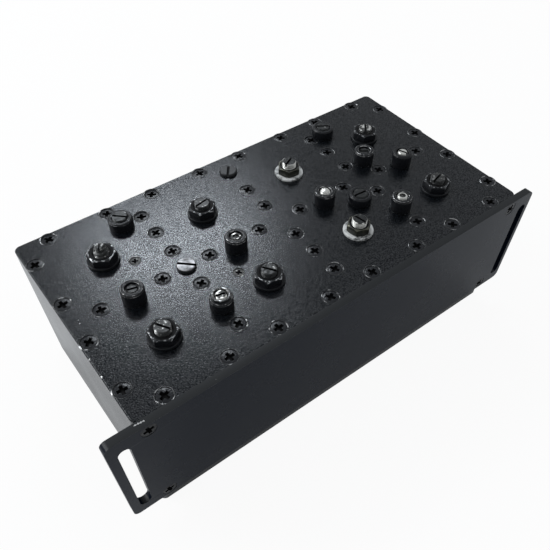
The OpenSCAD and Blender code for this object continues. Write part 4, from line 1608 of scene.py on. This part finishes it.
@dataclass
class Stage:
    """The floor, the light and the camera.

    Attributes:
        eye: The camera's place, in millimetres.
        aim: Its turn about X, Y and Z, in degrees.
        lens: Its focal length for a 36 mm sensor.
        shift: Its shift across and up.
        lamps: The lamps.
        around: Level of the light from all round.
        mirrored: Level of the surroundings where they are mirrored.
        floor: Lightness of the floor.
        floor_seen, floor_mirrored: Share of plain white in the floor as it is seen, and where it is mirrored.
    """

    eye: Place = (-106.54, -138.31, 217.18)
    aim: Place = (36.991, -1.0212, -37.5186)
    lens: float = 37.834
    shift: Point = (-0.0170, 0.10937)
    lamps: tuple[Lamp, ...] = (
        Lamp("window behind", (0.228, 0.615, 0.70), (-0.03, 0.012, 0.06), (0.3, 0.09), 1.65, (0.88, 0.94, 1.0)),
        Lamp("window at the left", (-0.9, 0.9, 0.9), (0.0, 0.0, 0.03), (0.9, 0.9), 13.0, DAYLIGHT),
    )
    around: float = 0.6
    mirrored: float = 0.42
    floor: float = 0.82
    floor_seen: float = 0.93
    floor_mirrored: float = 0.06

    def _floor(self) -> None:
        """Lays a white floor that keeps a faint shadow."""
        mesh = bmesh.new()
        bmesh.ops.create_grid(mesh, x_segments=2, y_segments=2, size=4.0)
        floor = loose_object("floor", mesh)
        material, tree = blank_material("white floor")
        path = tree.add("ShaderNodeLightPath")
        matt = tree.add("ShaderNodeBsdfDiffuse", {"Color": (self.floor, self.floor, self.floor, 1.0)}).outputs[0]
        white = tree.add("ShaderNodeEmission", {"Color": (1.0, 1.0, 1.0, 1.0), "Strength": 1.0}).outputs[0]
        share = tree.math("MAXIMUM", tree.math("MULTIPLY", path.outputs["Is Camera Ray"], self.floor_seen),
                          tree.math("MULTIPLY", tree.mirrored(path), self.floor_mirrored))
        both = tree.add("ShaderNodeMixShader", {0: share, 1: matt, 2: white})
        tree.add("ShaderNodeOutputMaterial", {"Surface": both.outputs[0]})
        floor.data.materials.append(material)

    def _sky(self) -> None:
        """Lights the scene from all round, darker where it is mirrored so that black paint stays black."""
        world = bpy.data.worlds.new("soft box")
        bpy.context.scene.world = world
        world.use_nodes = True
        world.node_tree.nodes.clear()
        tree = Tree(world.node_tree)
        path = tree.add("ShaderNodeLightPath")

        def level(colour: Colour, strength: float) -> Socket:
            """Returns a background of one level."""
            return tree.add("ShaderNodeBackground", {"Color": (*colour, 1.0), "Strength": strength}).outputs[0]

        dim = tree.add("ShaderNodeMixShader", {0: tree.mirrored(path), 1: level(DAYLIGHT, self.around),
                                               2: level(DAYLIGHT, self.mirrored)}).outputs[0]
        both = tree.add("ShaderNodeMixShader", {0: path.outputs["Is Camera Ray"], 1: dim,
                                                2: level((1.0, 1.0, 1.0), 1.0)})
        tree.add("ShaderNodeOutputWorld", {"Surface": both.outputs[0]})

    def _camera(self) -> None:
        """Sets the camera where the photograph was taken."""
        data = bpy.data.cameras.new("camera")
        data.sensor_fit, data.sensor_width, data.lens = "HORIZONTAL", 36.0, self.lens
        data.shift_x, data.shift_y = self.shift
        data.clip_start = 0.01
        camera = linked("camera", data)
        camera.location = Vector(self.eye) * MM
        camera.rotation_euler = [math.radians(value) for value in self.aim]
        bpy.context.scene.camera = camera

    def build(self) -> None:
        """Sets up the stage."""
        self._camera()
        self._floor()
        self._sky()
        for lamp in self.lamps:
            lamp.hang()
        bpy.context.scene.view_settings.view_transform = "Standard"


def main() -> None:
    """Builds the duplexer's looks and its stage."""
    logging.basicConfig(level=logging.INFO, format="%(name)s %(message)s")
    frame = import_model()
    finishes, layout = Finishes(), Layout()
    Stage().build()
    PaintedBox(finishes, frame["nodes"]).build()
    FrontPanel(finishes).build()
    LidScrews(finishes, layout).build()
    LidHardware(finishes, layout).build()
    for adjuster in ADJUSTERS:
        adjuster.build(finishes)
    Jacks(finishes).build()


if __name__ == "__main__":
    main()
